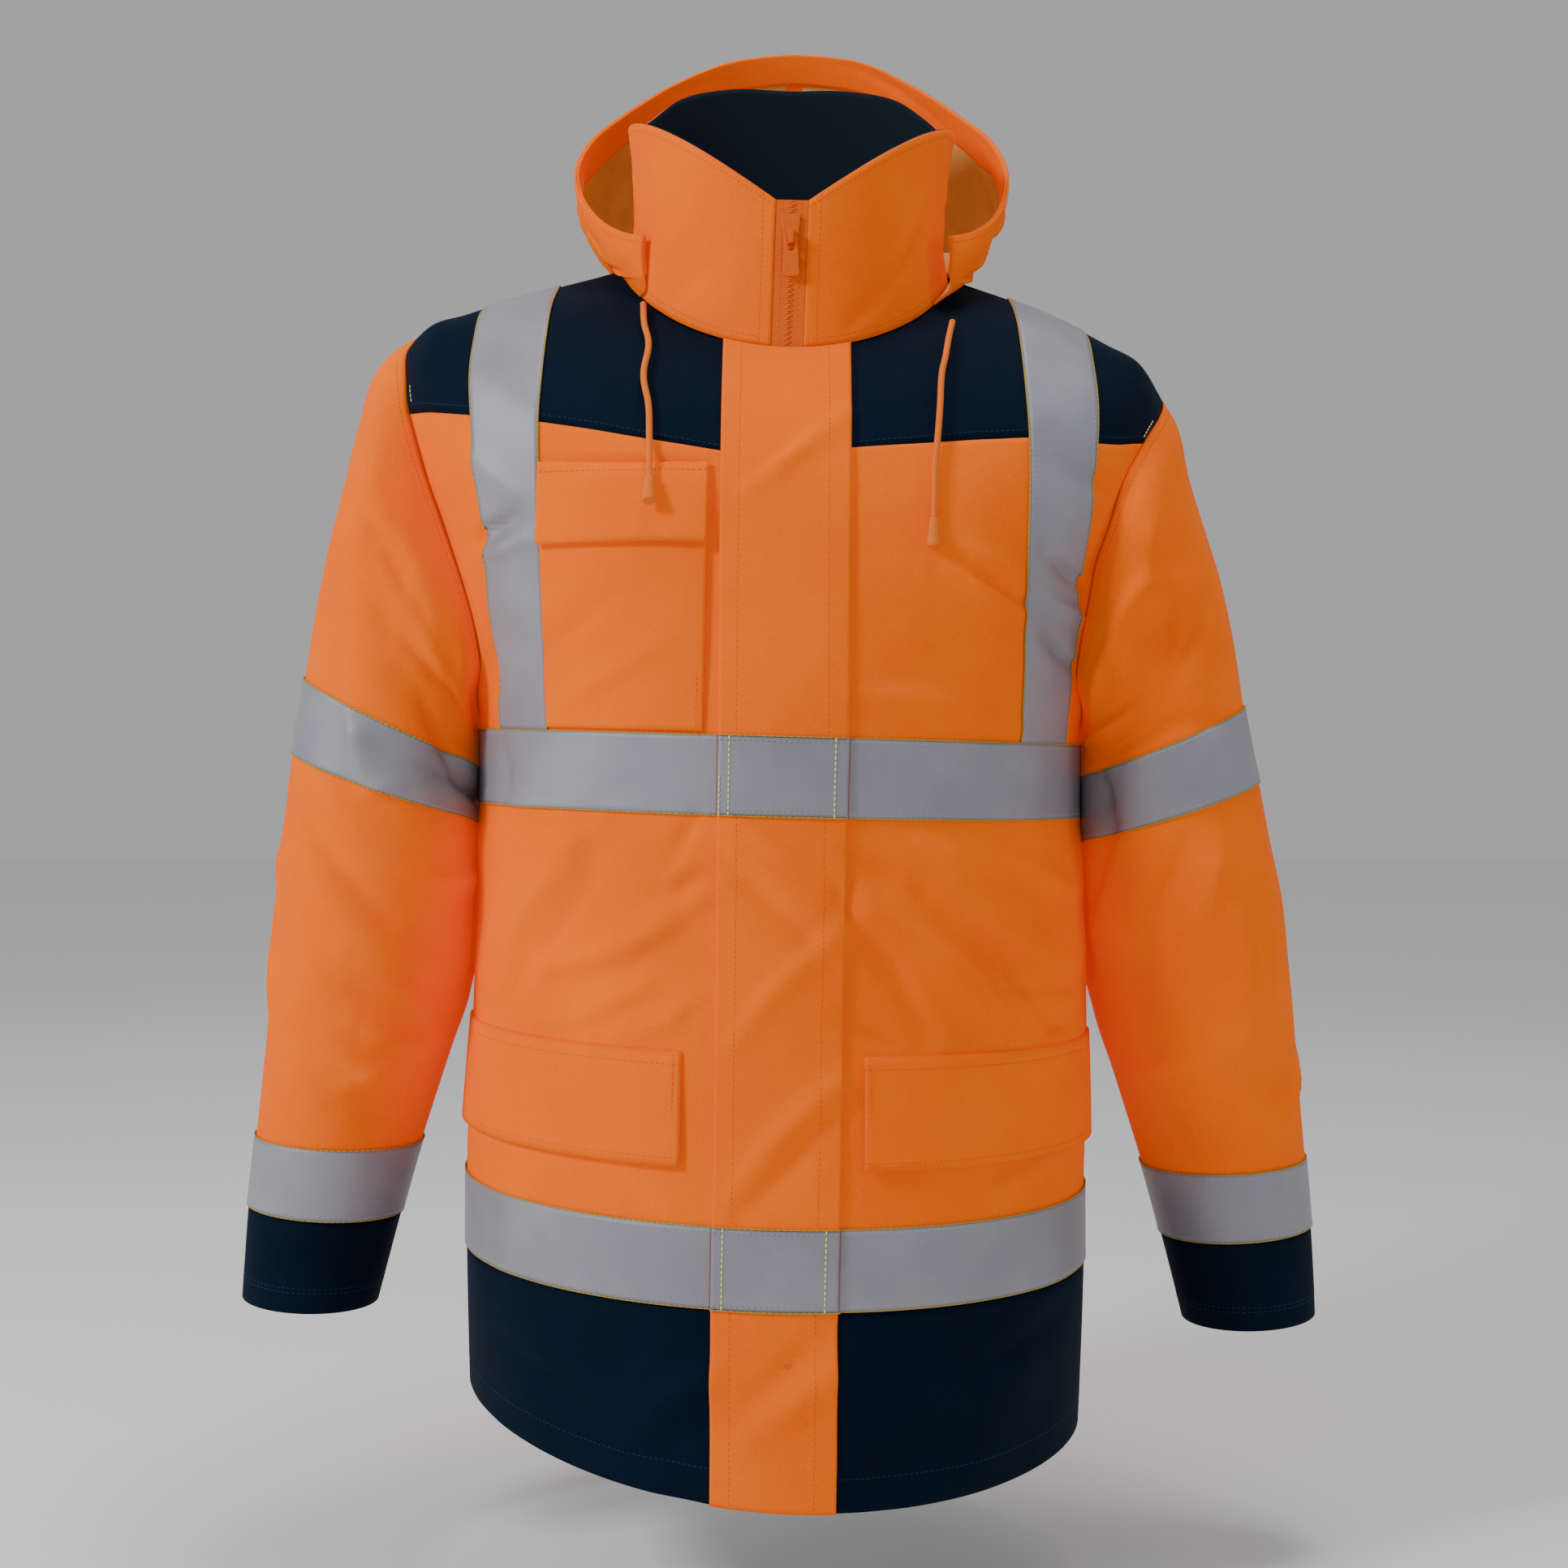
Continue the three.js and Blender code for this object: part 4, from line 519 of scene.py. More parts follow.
def clear_of_body(point):
    """Keeps sleeve points off the body's side, below the armpit."""
    height = lambda level: body_point(QUARTER, level)[..., 2]
    level = solve(height, point[..., 2], np.full(point.shape[:-1], float(CHEST)), HEM_TAPE_END)
    end = np.where(point[..., 1] < MIDDLE_Y, body_value("front_y", level), body_value("back_y", level))
    reach_x = body_value("half_width", level) + ARM_GAP
    reach_y = np.abs(end - MIDDLE_Y) + ARM_GAP
    centre_x = body_value("centre_x", level)
    x, y = point[..., 0] - centre_x, point[..., 1] - MIDDLE_Y
    share = np.hypot(x / reach_x, y / reach_y)
    moved = stack(centre_x + x / share, MIDDLE_Y + y / share, point[..., 2])
    inside = (share < 1) & (point[..., 2] <= BODY[CHEST][5] + 15)
    return np.where(inside[..., None], moved, point)


def grid_normals(points, ring=False, sign=1):
    if ring:
        across = np.roll(points, -1, axis=1) - np.roll(points, 1, axis=1)
    else:
        across = np.gradient(points, axis=1)
    return unit(np.cross(across, np.gradient(points, axis=0))) * sign


def sleeve_lattice(side):
    rows = slice(0, row_at["chest tape top"] + 1)
    front = body["front_" + side][rows, -1, :3]
    back = body["back_" + side][rows, -1, :3][::-1]
    loop = np.concatenate([front, back[1:-1]])
    centre, out, depth, across = (np.asarray(v, float) for v in sleeve_ring(side, 0.0))
    way = loop - centre
    local = (way @ out / (out @ out), -way[:, 1] / depth, way @ across)
    lengths = np.linalg.norm(np.roll(loop, -1, axis=0) - loop, axis=1)
    half = len(loop) // 2
    turns = []
    for start in (0, half):
        part = lengths[start:start + half]
        turns += list(math.pi * ((np.cumsum(part) - part) / part.sum() + (start > 0)))
    turns = np.array(turns)
    rings = [0.0]
    for ring, cells in SLEEVE_ROWS.values():
        rings += list(np.linspace(rings[-1], ring, cells + 1)[1:])
    rings = np.array(rings)
    centre, out, depth, across = sleeve_ring(side, rings)
    rounded = smoothstep(0, 5, rings)[:, None]
    along = mix(local[0], np.cos(turns), rounded)[..., None]
    forward = mix(local[1], np.sin(turns), rounded)
    off = ((local[2] + HEAD_GAP) * (1 - rounded))[..., None]
    points = centre[:, None] + out[:, None] * along + across[:, None] * off
    points[..., 1] -= depth[:, None] * forward
    hanging = (rings > 0.5)[:, None, None]
    points = np.where(hanging, clear_of_body(points), points)
    normals = grid_normals(points, True, SIDES[side])
    folds = [(x1, z1 * RING_STEP, x2, z2 * RING_STEP, w, d) for x1, z1, x2, z2, w, d in SLEEVE_FOLDS]
    across, down = np.meshgrid(np.degrees(turns), rings * RING_STEP)
    lift = fold_height(across, down, folds)
    points = points + normals * (lift * smoothstep(0, 1.2, rings)[:, None])[..., None]
    points = np.where(hanging, clear_of_body(points), points)
    return np.concatenate([points, normals], axis=-1)


def collar_point(angle, share):
    low = body_point(angle, np.zeros(np.shape(angle)))
    top, across, along = COLLAR_TOP, np.sin(angle), np.cos(angle)
    ahead = along > 0
    x = top["centre_x"] + top["half_width"] * across
    y = MIDDLE_Y + (np.where(ahead, top["front_y"], top["back_y"]) - MIDDLE_Y) * np.abs(along)
    rise = np.where(ahead, 1 - np.abs(across), 1 - across ** 4)
    z = mix(top["side_z"], np.where(ahead, top["front_z"], top["back_z"]), rise) + COLLAR_TILT * x
    point = mix(low, stack(x, y, z), share)
    point[..., 0] -= COLLAR_WAIST * math.sin(math.pi * share) * across * np.abs(across)
    point[..., 2] += COLLAR_LIFT * (1 - share)
    return point


def neck_angles(half, side):
    count = list(LINES[half]).index("neck side") + 1
    return [float(line_angle(half, side, index, 0.0)) for index in range(count)]


def collar_lattice():
    angles = neck_angles("front", "right") + neck_angles("back", "right")[::-1][1:]
    angles += [a - 2 * math.pi for a in neck_angles("back", "left")][1:]
    angles += [a - 2 * math.pi for a in neck_angles("front", "left")][::-1][1:]
    shares = [1 - row / COLLAR_CELLS for row in range(COLLAR_CELLS + 1)]
    points = np.stack([collar_point(np.array(angles), share) for share in shares])
    return np.concatenate([points, grid_normals(points)], axis=-1)


def catmull(points):
    """Centripetal curve through points: places along it, and their distances from its start."""
    ends = [2 * points[0] - points[1]] + list(points) + [2 * points[-1] - points[-2]]
    ends = np.array(ends)
    line = []
    for i in range(1, len(ends) - 2):
        p0, p1, p2, p3 = ends[i - 1:i + 3]
        steps = (p1 - p0, p2 - p1, p3 - p2)
        d0, d1, d2 = (max(float(np.linalg.norm(step)) ** 0.5, 1e-4) for step in steps)
        m1 = ((p1 - p0) / d0 - (p2 - p0) / (d0 + d1) + (p2 - p1) / d1) * d1
        m2 = ((p2 - p1) / d1 - (p3 - p1) / (d1 + d2) + (p3 - p2) / d2) * d1
        t = np.linspace(0, 1, 50, endpoint=False)[:, None]
        line.append(p1 + t * (m1 + t * (3 * (p2 - p1) - 2 * m1 - m2 + t * (m1 + m2 - 2 * (p2 - p1)))))
    line = np.concatenate(line + [ends[-2:-1]])
    length = np.concatenate([[0], np.cumsum(np.linalg.norm(np.diff(line, axis=0), axis=1))])
    return line, length


def hood_station(place, side):
    get = lambda key: float(hood_value(key, place))
    turn, sign = math.radians(get("turn")), SIDES[side]
    seam = body_point(np.array(sign * turn), np.array(0.0))
    seam = seam + [HOOD_STAND * sign * math.sin(turn), -HOOD_STAND * math.cos(turn), HOOD_STAND]
    profile = [seam]
    for name in ("inner", "foot", "bulge", "rim"):
        radius = get(name + "_r")
        x = get("shift") + sign * radius * math.sin(turn)
        profile.append(np.array([x, HOOD_CENTRE_Y - radius * math.cos(turn), get(name + "_z")]))
    line, length = catmull(profile)
    bag = length[-1] - get("facing")
    places = np.append(np.linspace(0, bag, BAG_ROWS + 1), np.linspace(bag, length[-1], FACING_ROWS + 1)[1:])
    return np.stack([np.interp(places, length, line[:, k]) for k in range(3)], axis=-1)


def hood_lattice():
    def stations(side):
        places = np.append(np.arange(HOOD_COLUMNS + 1) * STRIP_START / HOOD_COLUMNS, len(HOOD) - 1)
        return [hood_station(float(place), side) for place in places]
    points = np.stack(stations("right") + stations("left")[::-1][1:], axis=1)
    return np.concatenate([points, grid_normals(points, sign=-1)], axis=-1)


def refine(grid, axis, steps, ring=False):
    """More points along one axis of a lattice, on a smooth curve through those it has."""
    g = np.moveaxis(grid, axis, 0)
    if ring:
        g = np.concatenate([g[-2:], g, g[:3]])
    gaps = np.linalg.norm(np.diff(g[..., :3], axis=0), axis=-1)
    gaps = gaps.reshape(len(gaps), -1).mean(axis=1)
    shape = (-1,) + (1,) * (g.ndim - 1)
    h = np.maximum(gaps, 1e-6).reshape(shape)
    slope = np.diff(g, axis=0) / h
    inner = (slope[:-1] * h[1:] + slope[1:] * h[:-1]) / (h[1:] + h[:-1])
    first, last = 1.5 * slope[:1] - 0.5 * inner[:1], 1.5 * slope[-1:] - 0.5 * inner[-1:]
    m = np.concatenate([first, inner, last])
    t = (np.arange(steps) / steps).reshape((1, -1) + (1,) * (g.ndim - 1))
    a, b = g[:-1, None], g[1:, None]
    ma, mb = m[:-1, None] * h[:, None], m[1:, None] * h[:, None]
    fine = a + t * (ma + t * (3 * (b - a) - 2 * ma - mb + t * (ma + mb - 2 * (b - a))))
    fine = fine.reshape((-1,) + fine.shape[2:])
    if ring:
        fine = fine[2 * steps:-2 * steps]
    else:
        fine = np.concatenate([fine, g[-1:]])
    return np.moveaxis(fine, 0, axis)


def fine(grid, ring=False):
    grid = refine(refine(grid, 0, FINE), 1, FINE, ring)
    grid[..., 3:] = unit(grid[..., 3:])
    return grid


lattice = {name: grid for name, grid in body.items()}
lattice["back"] = whole_back
lattice["placket"] = np.concatenate([body["front_right"][:, 2::-1], body["front_left"][:, :3]], axis=1)
lattice["collar"] = collar_lattice()
lattice["hood"] = hood_lattice()
for side in SIDES:
    lattice["sleeve_" + side] = sleeve_lattice(side)
surface = {name: fine(grid, name.startswith("sleeve")) for name, grid in lattice.items()}


def crease_height(x, z, strokes):
    """Bent strokes, steeper on one side and fading towards their ends."""
    height = np.zeros(np.shape(x))
    for x1, z1, x2, z2, width, depth, bend in strokes:
        dx, dz = x2 - x1, z2 - z1
        reach = math.hypot(dx, dz)
        share = ((x - x1) * dx + (z - z1) * dz) / reach ** 2
        off = ((z - z1) * dx - (x - x1) * dz) / reach - bend * np.sin(math.pi * np.clip(share, 0, 1))
        past = np.maximum(np.maximum(-share, share - 1), 0) * reach
        side = width * np.where(off > 0, 0.5, 0.95)
        fade = 0.3 + 0.7 * np.sin(math.pi * np.clip(share, 0.1, 0.85))
        height += depth * fade * np.exp(-(off / side) ** 2 - (past / width) ** 2)
    return height


def along_grid(grid, ring=False):
    """Millimetres across and down a fine surface, averaged over it."""
    points = np.concatenate([grid, grid[:, :1]], axis=1)[..., :3] if ring else grid[..., :3]
    steps = [np.linalg.norm(np.diff(points, axis=axis), axis=-1) for axis in (0, 1)]
    down, across = steps[0].mean(axis=1), steps[1].mean(axis=0)
    return [np.concatenate([[0], np.cumsum(step)]) for step in (across, down)]


def add_creases(name, grid):
    """Lifts a fine surface by its creases, and by nothing where it meets a neighbour's edge."""
    if name.startswith(("front", "placket", "back")):
        x, z = grid[..., 0], grid[..., 2]
        calm = 1 - 0.8 * smoothstep(190, 212, np.abs(x + 3)) * (z < -319)
        place = np.arange(grid.shape[1])
        seam = grid.shape[1] - 1 - place
        if name == "back":
            seam = np.minimum(place, seam)
        if name != "placket":
            calm = calm * smoothstep(0, 7, seam)
        lift = crease_height(x, z, CREASES["back" if name == "back" else "front"]) * calm
    elif name.startswith("sleeve"):
        across, down = along_grid(grid, True)
        turn = across[:-1] / across[-1] * 360
        x, z = np.meshgrid(turn, down)
        calm = smoothstep(8, 40, z) * smoothstep(0, 30, np.abs(x - 180))
        lift = crease_height(x, z, CREASES[name]) * calm
    else:
        across, down = along_grid(grid)
        if name == "hood":
            down = down[-1] - down
        x, z = np.meshgrid(across, down)
        lift = crease_height(x, z, CREASES[name])
    grid[..., :3] += grid[..., 3:] * (CREASE_GAIN * lift)[..., None]


for name, grid in surface.items():
    add_creases(name, grid)


class Field:
    """A value in a material's nodes: sums and products of fields make the nodes that work them out."""

    def __init__(self, tree, socket):
        self.tree, self.socket = tree, socket

    def make(self, kind, inputs=(), output=0, **settings):
        node = self.tree.nodes.new("ShaderNode" + kind)
        for key, value in settings.items():
            setattr(node, key, value)
        for key, value in dict(inputs).items():
            if isinstance(value, Field):
                self.tree.links.new(value.socket, node.inputs[key])
            else:
                node.inputs[key].default_value = value
        return Field(self.tree, node.outputs[output])

    def math(self, operation, other=0.0):
        return self.make("Math", {0: self, 1: other}, operation=operation)

    def __add__(self, other):
        return self.math("ADD", other)

    def __sub__(self, other):
        return self.math("SUBTRACT", other)

    def __rsub__(self, other):
        return self.make("Math", {0: other, 1: self}, operation="SUBTRACT")

    def __mul__(self, other):
        return self.math("MULTIPLY", other)

    __radd__, __rmul__ = __add__, __mul__

    def ramp(self, low, high, to_low=0.0, to_high=1.0):
        inputs = {"Value": self, "From Min": low, "From Max": high, "To Min": to_low, "To Max": to_high}
        return self.make("MapRange", inputs, interpolation_type="SMOOTHSTEP")

    def blend(self, first, second):
        return self.make("Mix", {"Factor": self, 6: first, 7: second}, output=2, data_type="RGBA")


def srgb(r, g, b):
    parts = (r / 255, g / 255, b / 255)
    return (*(c / 12.92 if c <= 0.04045 else ((c + 0.055) / 1.055) ** 2.4 for c in parts), 1.0)


def material(name, roughness, build, metallic=0.0, glow=0.0, gloss=0.14):
    """Principled material; build works out its colour and its bump's height in millimetres."""
    made = bpy.data.materials.new(name)
    made.use_nodes = True
    tree = made.node_tree
    shader = tree.nodes["Principled BSDF"]
    shader.inputs["Roughness"].default_value = roughness
    shader.inputs["Metallic"].default_value = metallic
    shader.inputs["Specular IOR Level"].default_value = gloss
    place = Field(tree, None).make("TexCoord", output="Object")
    colour, height = build(place)
    tree.links.new(colour.socket, shader.inputs["Base Color"])
    # Emission in the cloth's own colour is painted light: the shell glows brighter than the lamps alone light
    # it.
    if glow:
        tree.links.new(colour.socket, shader.inputs["Emission Color"])
        shader.inputs["Emission Strength"].default_value = glow
    bump = place.make("Bump", {"Height": height, "Strength": 1.0, "Distance": MM})
    tree.links.new(bump.socket, shader.inputs["Normal"])
    return made


def noise(place, scale, detail=2.0, rough=0.5, output=0):
    inputs = {"Vector": place, "Scale": scale, "Detail": detail, "Roughness": rough}
    return place.make("TexNoise", inputs, output)


def weave(place, pitch):
    """Height of a plain weave laid out on the cloth's own flat coordinates, in metres."""
    flat = place.make("UVMap", uv_map="flat")
    parts = place.make("SeparateXYZ", {0: flat})
    u = Field(place.tree, parts.socket.node.outputs[0]) * (2 * math.pi / pitch)
    v = Field(place.tree, parts.socket.node.outputs[1]) * (2 * math.pi / pitch)
    return u.math("SINE") * v.math("SINE")


def shell_fabric(bright, shade, pitch=0.0011, crinkle=0.5):
    def build(place):
        tone = noise(place, 14, 2, 0.5)
        fleck = noise(place, 700, 2, 0.6)
        colour = (tone * 0.45 + fleck * 0.55).ramp(0.3, 0.7).blend(shade, bright)
        folds = noise(place, 70, 3, 0.55) * crinkle
        return colour, weave(place, pitch) * 0.05 + folds + noise(place, 240, 2) * 0.12
    return build


def plain(colour, scale=500, depth=0.1):
    def build(place):
        return noise(place, scale, 2).ramp(0.3, 0.7).blend([c * 0.88 for c in colour[:3]] + [1], colour), \
            noise(place, scale, 3) * depth
    return build


def tape_fabric(place):
    soft = noise(place, 18, 2)
    colour = soft.ramp(0.3, 0.7).blend(srgb(140, 140, 149), srgb(150, 150, 159))
    return colour, weave(place, 0.0016) * 0.06 + noise(place, 60, 3) * 0.25


ORANGE, ORANGE_SHADE = (1.0, 0.165, 0.0, 1), (0.9, 0.13, 0.0, 1)
NAVY, NAVY_SHADE = srgb(2, 22, 42), srgb(1, 17, 34)
CREAM = srgb(232, 190, 112)
LIME = srgb(226, 236, 150)

MATERIALS = {
    # The orange shell gets painted light: a glow of its own colour on top of the lamps.
    "orange": material("orange_shell", 0.75, shell_fabric(ORANGE, ORANGE_SHADE), glow=0.12, gloss=0.05),
    "navy": material("navy_shell", 0.75, shell_fabric(NAVY, NAVY_SHADE), gloss=0.06),
    "lining": material("navy_lining", 0.85, plain(srgb(8, 22, 36), 700, 0.15)),
    "cream": material("cream_coating", 0.6, plain(CREAM, 40, 0.3)),
    "tape": material("reflective_tape", 0.45, tape_fabric, metallic=0.2, gloss=0.3),
    "zip": material("zip_orange", 0.5, plain(srgb(238, 104, 24), 900, 0.05)),
    "cord": material("cord_orange", 0.7, plain(srgb(236, 118, 36), 1500, 0.2)),
    "thread": material("thread_orange", 0.6, plain(srgb(232, 92, 16), 900, 0.02)),
    "navy thread": material("thread_navy", 0.6, plain(srgb(20, 54, 84), 900, 0.02)),
    "lime thread": material("thread_lime", 0.6, plain(LIME, 900, 0.02)),
    "gold thread": material("thread_gold", 0.6, plain(srgb(186, 158, 72), 900, 0.02)),
    "grey thread": material("thread_grey", 0.6, plain(srgb(168, 168, 176), 900, 0.02)),
}


def mesh_object(name, vertices, faces, materials, indices=None, flat=None, smooth=True):
    mesh = bpy.data.meshes.new(name)
    mesh.from_pydata((np.asarray(vertices) * MM).tolist(), [], np.asarray(faces).tolist())
    for key in materials:
        mesh.materials.append(MATERIALS[key])
    if indices is not None:
        mesh.polygons.foreach_set("material_index", np.asarray(indices, dtype=np.int32))
    if smooth:
        mesh.polygons.foreach_set("use_smooth", np.ones(len(mesh.polygons), dtype=bool))
    if flat is not None:
        layer = mesh.uv_layers.new(name="flat")
        corners = np.zeros(len(mesh.loops), dtype=np.int32)
        mesh.loops.foreach_get("vertex_index", corners)
        layer.data.foreach_set("uv", (np.asarray(flat)[corners] * MM).ravel())
    mesh.update()
    made = bpy.data.objects.new(name, mesh)
    bpy.context.collection.objects.link(made)
    return made


def part_of(made, replaced=()):
    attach(made, "jacket")
    if replaced:
        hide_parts(*replaced)
    return made


def lengths(points):
    """Distance between neighbouring points down each column and across each row of a grid, in millimetres."""
    down = np.linalg.norm(np.diff(points, axis=0), axis=-1)
    across = np.linalg.norm(np.diff(points, axis=1), axis=-1)
    return down, across


def resample(grid, rows, columns):
    """Grid read at fractional rows and columns."""
    for axis, places in ((0, rows), (1, columns)):
        low = np.clip(np.floor(places).astype(int), 0, grid.shape[axis] - 2)
        share = (places - low).reshape((-1, 1, 1) if axis == 0 else (1, -1, 1))
        grid = mix(np.take(grid, low, axis), np.take(grid, low + 1, axis), share)
    return grid


def inset(grid, top=SEAM, bottom=SEAM, start=SEAM, end=SEAM, ring=False):
    down, across = lengths(grid[..., :3])
    rows = np.linspace(top / down[0].mean(), len(grid) - 1 - bottom / down[-1].mean(), len(grid))
    columns = np.arange(grid.shape[1], dtype=float)
    if not ring:
        last = grid.shape[1] - 1
        columns = np.linspace(start / across[:, 0].mean(), last - end / across[:, -1].mean(), last + 1)
        return resample(grid, rows, columns)
    low = np.clip(np.floor(rows).astype(int), 0, len(grid) - 2)
    return mix(grid[low], grid[low + 1], (rows - low)[:, None, None])


def flat_area(points, ring):
    if ring:
        points = np.concatenate([points, points[:, :1]], axis=1)
    a, b, c, d = points[:-1, :-1], points[1:, :-1], points[1:, 1:], points[:-1, 1:]
    cells = np.linalg.norm(np.cross(c - a, d - b), axis=-1) / 2
    down, across = lengths(points)
    return cells.sum(), down.sum(axis=0).max(), across.sum(axis=1).max()


def cloth(name, grid, colour, low=-CLOTH, high=0.0, replaced=None, ring=False, back=None, edge=None):
    """Closed shell between two offsets of a grid."""
    points, normals = grid[..., :3], grid[..., 3:]
    rows, columns = points.shape[:2]
    high = np.broadcast_to(np.asarray(high, float), (rows, columns))[..., None]
    low = np.broadcast_to(np.asarray(low, float), (rows, columns))[..., None]
    vertices = np.concatenate([(points + normals * lift).reshape(-1, 3) for lift in (high, low)])
    number = np.arange(rows * columns).reshape(rows, columns)
    if ring:
        number = np.concatenate([number, number[:, :1]], axis=1)
    a, b, c, d = number[:-1, :-1], number[1:, :-1], number[1:, 1:], number[:-1, 1:]
    outer = np.stack([a, b, c, d], axis=-1).reshape(-1, 4)
    under = rows * columns
    inner = outer[:, ::-1] + under
    rims = []
    edges = [(number[0, 1:], number[0, :-1]), (number[-1, :-1], number[-1, 1:])]
    if not ring:
        edges += [(number[:-1, 0], number[1:, 0]), (number[1:, -1], number[:-1, -1])]
    for one, two in edges:
        rims.append(np.stack([two, one, one + under, two + under], axis=-1))
    faces = np.concatenate([outer, inner] + rims)
    centre = vertices[faces[:, 0]].mean(axis=0)
    corner = [vertices[faces[:, k]] - centre for k in range(4)]
    volume = sum(np.einsum("ij,ij->i", corner[0], np.cross(corner[k], corner[k + 1])).sum() for k in (1, 2))
    if volume < 0:
        faces = faces[:, ::-1]
    down, across = lengths(points)
    v = np.concatenate([[0], np.cumsum(down.mean(axis=1))])
    u = np.concatenate([[0], np.cumsum(across.mean(axis=0))])
    flat = np.tile(np.stack(np.meshgrid(u, -v), axis=-1).reshape(-1, 2), (2, 1))
    indices = np.repeat([0, 1, 2], [len(outer), len(inner), len(faces) - 2 * len(outer)])
    colours = [colour, back or colour, edge or colour]
    made = mesh_object("cloth_" + name, vertices, faces, colours, indices, flat)
    sharp = made.data.attributes.new("sharp_face", "BOOLEAN", "FACE")
    sharp.data.foreach_set("value", np.arange(len(faces)) >= 2 * len(outer))
    part_of(made, replaced or [name])
    area, height, width = flat_area(points, ring)
    area = min(area, 0.995 * width * height)
    return made


def cut(name, rows, columns=None):
    """Part of a fine surface between two rows and two columns of the CAD part's lattice."""
    grid = surface[name]
    top, bottom = (row_at[row] if isinstance(row, str) else row for row in rows)
    grid = grid[top * FINE:bottom * FINE + 1]
    return grid if columns is None else grid[:, columns[0] * FINE:columns[1] * FINE + 1]


def line_at(half, name):
    return list(LINES[half]).index(name)


def build_body():
    for side in SIDES:
        front = "front_" + side
        cloth(front, inset(cut(front, ("yoke", "hem tape end"))), "orange", back="lining")
        cloth("front_yoke_" + side, inset(cut(front, ("neck", "yoke"))), "navy", back="lining")
        hem = inset(cut(front, ("hem tape end", "hem")), bottom=0)
        cloth("front_hem_" + side, hem, "navy", back="lining")
    cloth("back_yoke", inset(cut("back", ("neck", "yoke"))), "navy", back="lining")
    cloth("back", inset(cut("back", ("yoke", "hem tape end"))), "orange", back="lining")
    cloth("back_hem", inset(cut("back", ("hem tape end", "hem")), bottom=0), "navy", back="lining")


def tape(name, grid, under=LAY, **edges):
    cloth(name, inset(grid, **edges), "tape", under, under + TAPE, edge="gold thread")


def build_tapes():
    start = line_at("front", "placket")
    for band in ("chest", "hem"):
        rows = (band + " tape top", band + " tape end")
        for side in SIDES:
            tape(f"{band}_tape_{side}", cut("front_" + side, rows, (start, LAST["front"])))
        tape(f"{band}_tape_back", cut("back", rows))
        tape(f"placket_{band}_tape", cut("placket", rows), LAY + PLACKET)
    rows = ("neck", "chest tape top")
    for side in SIDES:
        span = {half: (line_at(half, "brace inner"), line_at(half, "brace outer")) for half in LINES}
        middle = LAST["back"]
        low, high = span["back"]
        if side == "right":
            back = cut("back", rows, (middle - high, middle - low))[:, ::-1]
        else:
            back = cut("back", rows, (middle + low, middle + high))
        front = cut("front_" + side, rows, span["front"])
        tape("brace_tape_" + side, np.concatenate([back[::-1], front[1:]]), start=0, end=0)


def build_placket():
    cloth("placket", inset(cut("placket", ("neck", "hem")), top=1, bottom=0), "orange", LAY, LAY + PLACKET)


POCKET_FULLNESS, FLAP_LIFT = 5, 2.5


def lower_flap(side, line):
    return cut("front_" + side, ("lower flap top", "lower flap end"), (line_at("front", line), LAST["front"]))


def build_pockets():
    span = (line_at("front", "chest pocket"), line_at("front", "brace inner"))
    rows = ("pocket top", "chest tape top")
    bag = cut("front_right", rows, span)
    across = np.sin(math.pi * mix(0.12, 0.94, np.linspace(0, 1, bag.shape[1])))[None]
    full = LAY + POCKET + POCKET_FULLNESS * across * np.sin(math.pi * np.linspace(0, 1, len(bag)))[:, None]
    cloth("chest_pocket", inset(bag, top=3, bottom=2, start=0), "orange", LAY, full)
    flap = cut("front_right", ("pocket top", "pocket flap end"), span)
    lift = FLAP_LIFT * np.linspace(0, 1, len(flap))[:, None] ** 2
    under = full[:len(flap)] + LAY + lift
    cloth("chest_pocket_flap", inset(flap, top=0, bottom=0, start=0), "orange", under, under + POCKET)
    for side, line, edge in (("right", "lower flap", 1), ("left", "chest pocket", 2)):
        grid = lower_flap(side, line)
        under = LAY + FLAP_LIFT * np.linspace(0, 1, len(grid))[:, None]
        flap = inset(grid, top=0, bottom=0, start=edge, end=4)
        cloth("lower_flap_" + side, flap, "orange", under, under + POCKET)


def build_sleeves():
    last, at = 0, {"head": 0}
    for name, (_, cells) in SLEEVE_ROWS.items():
        last += cells
        at[name] = last
    for side in SIDES:
        name = "sleeve_" + side
        piece = lambda top, bottom: cut(name, (at[top], at[bottom]))
        tube = inset(piece("head", "lower tape end"), top=0, ring=True)
        cloth(name, tube, "orange", ring=True, back="lining")
        cuff = inset(piece("lower tape end", "cuff end"), bottom=0, ring=True)
        cloth("cuff_" + side, cuff, "navy", ring=True, back="lining")
        for band in ("upper", "lower"):
            grid = inset(piece(band + " tape top", band + " tape end"), ring=True)
            cloth(f"sleeve_tape_{band}_{side}", grid, "tape", LAY, LAY + TAPE, ring=True, edge="gold thread")


def build_collar():
    grid = inset(surface["collar"], top=0, bottom=0)
    cloth("collar", grid, "orange", -CLOTH, 0)
    cloth("collar_lining", grid, "lining", -CLOTH - LAY - LINING, -CLOTH - LAY)


def build_hood():
    far = HOOD_COLUMNS + 2
    rows = (0, HOOD_ROWS)
    edges = dict(top=0, bottom=0, start=0, end=0)
    right = inset(cut("hood", rows, (0, HOOD_COLUMNS)), **{**edges, "end": SEAM})
    cloth("hood_right", right, "orange", back="cream")
    strip = inset(cut("hood", rows, (HOOD_COLUMNS, far)), **{**edges, "start": SEAM, "end": SEAM})
    cloth("hood_centre", strip, "orange")
    left = inset(cut("hood", rows, (far, far + HOOD_COLUMNS)), **{**edges, "start": SEAM})
    cloth("hood_left", left, "orange", back="cream")
    rim = cut("hood", (HOOD_ROWS - FACING_ROWS, HOOD_ROWS))
    cloth("hood_facing", rim, "orange", -CLOTH - LAY - FACING, -CLOTH - LAY)


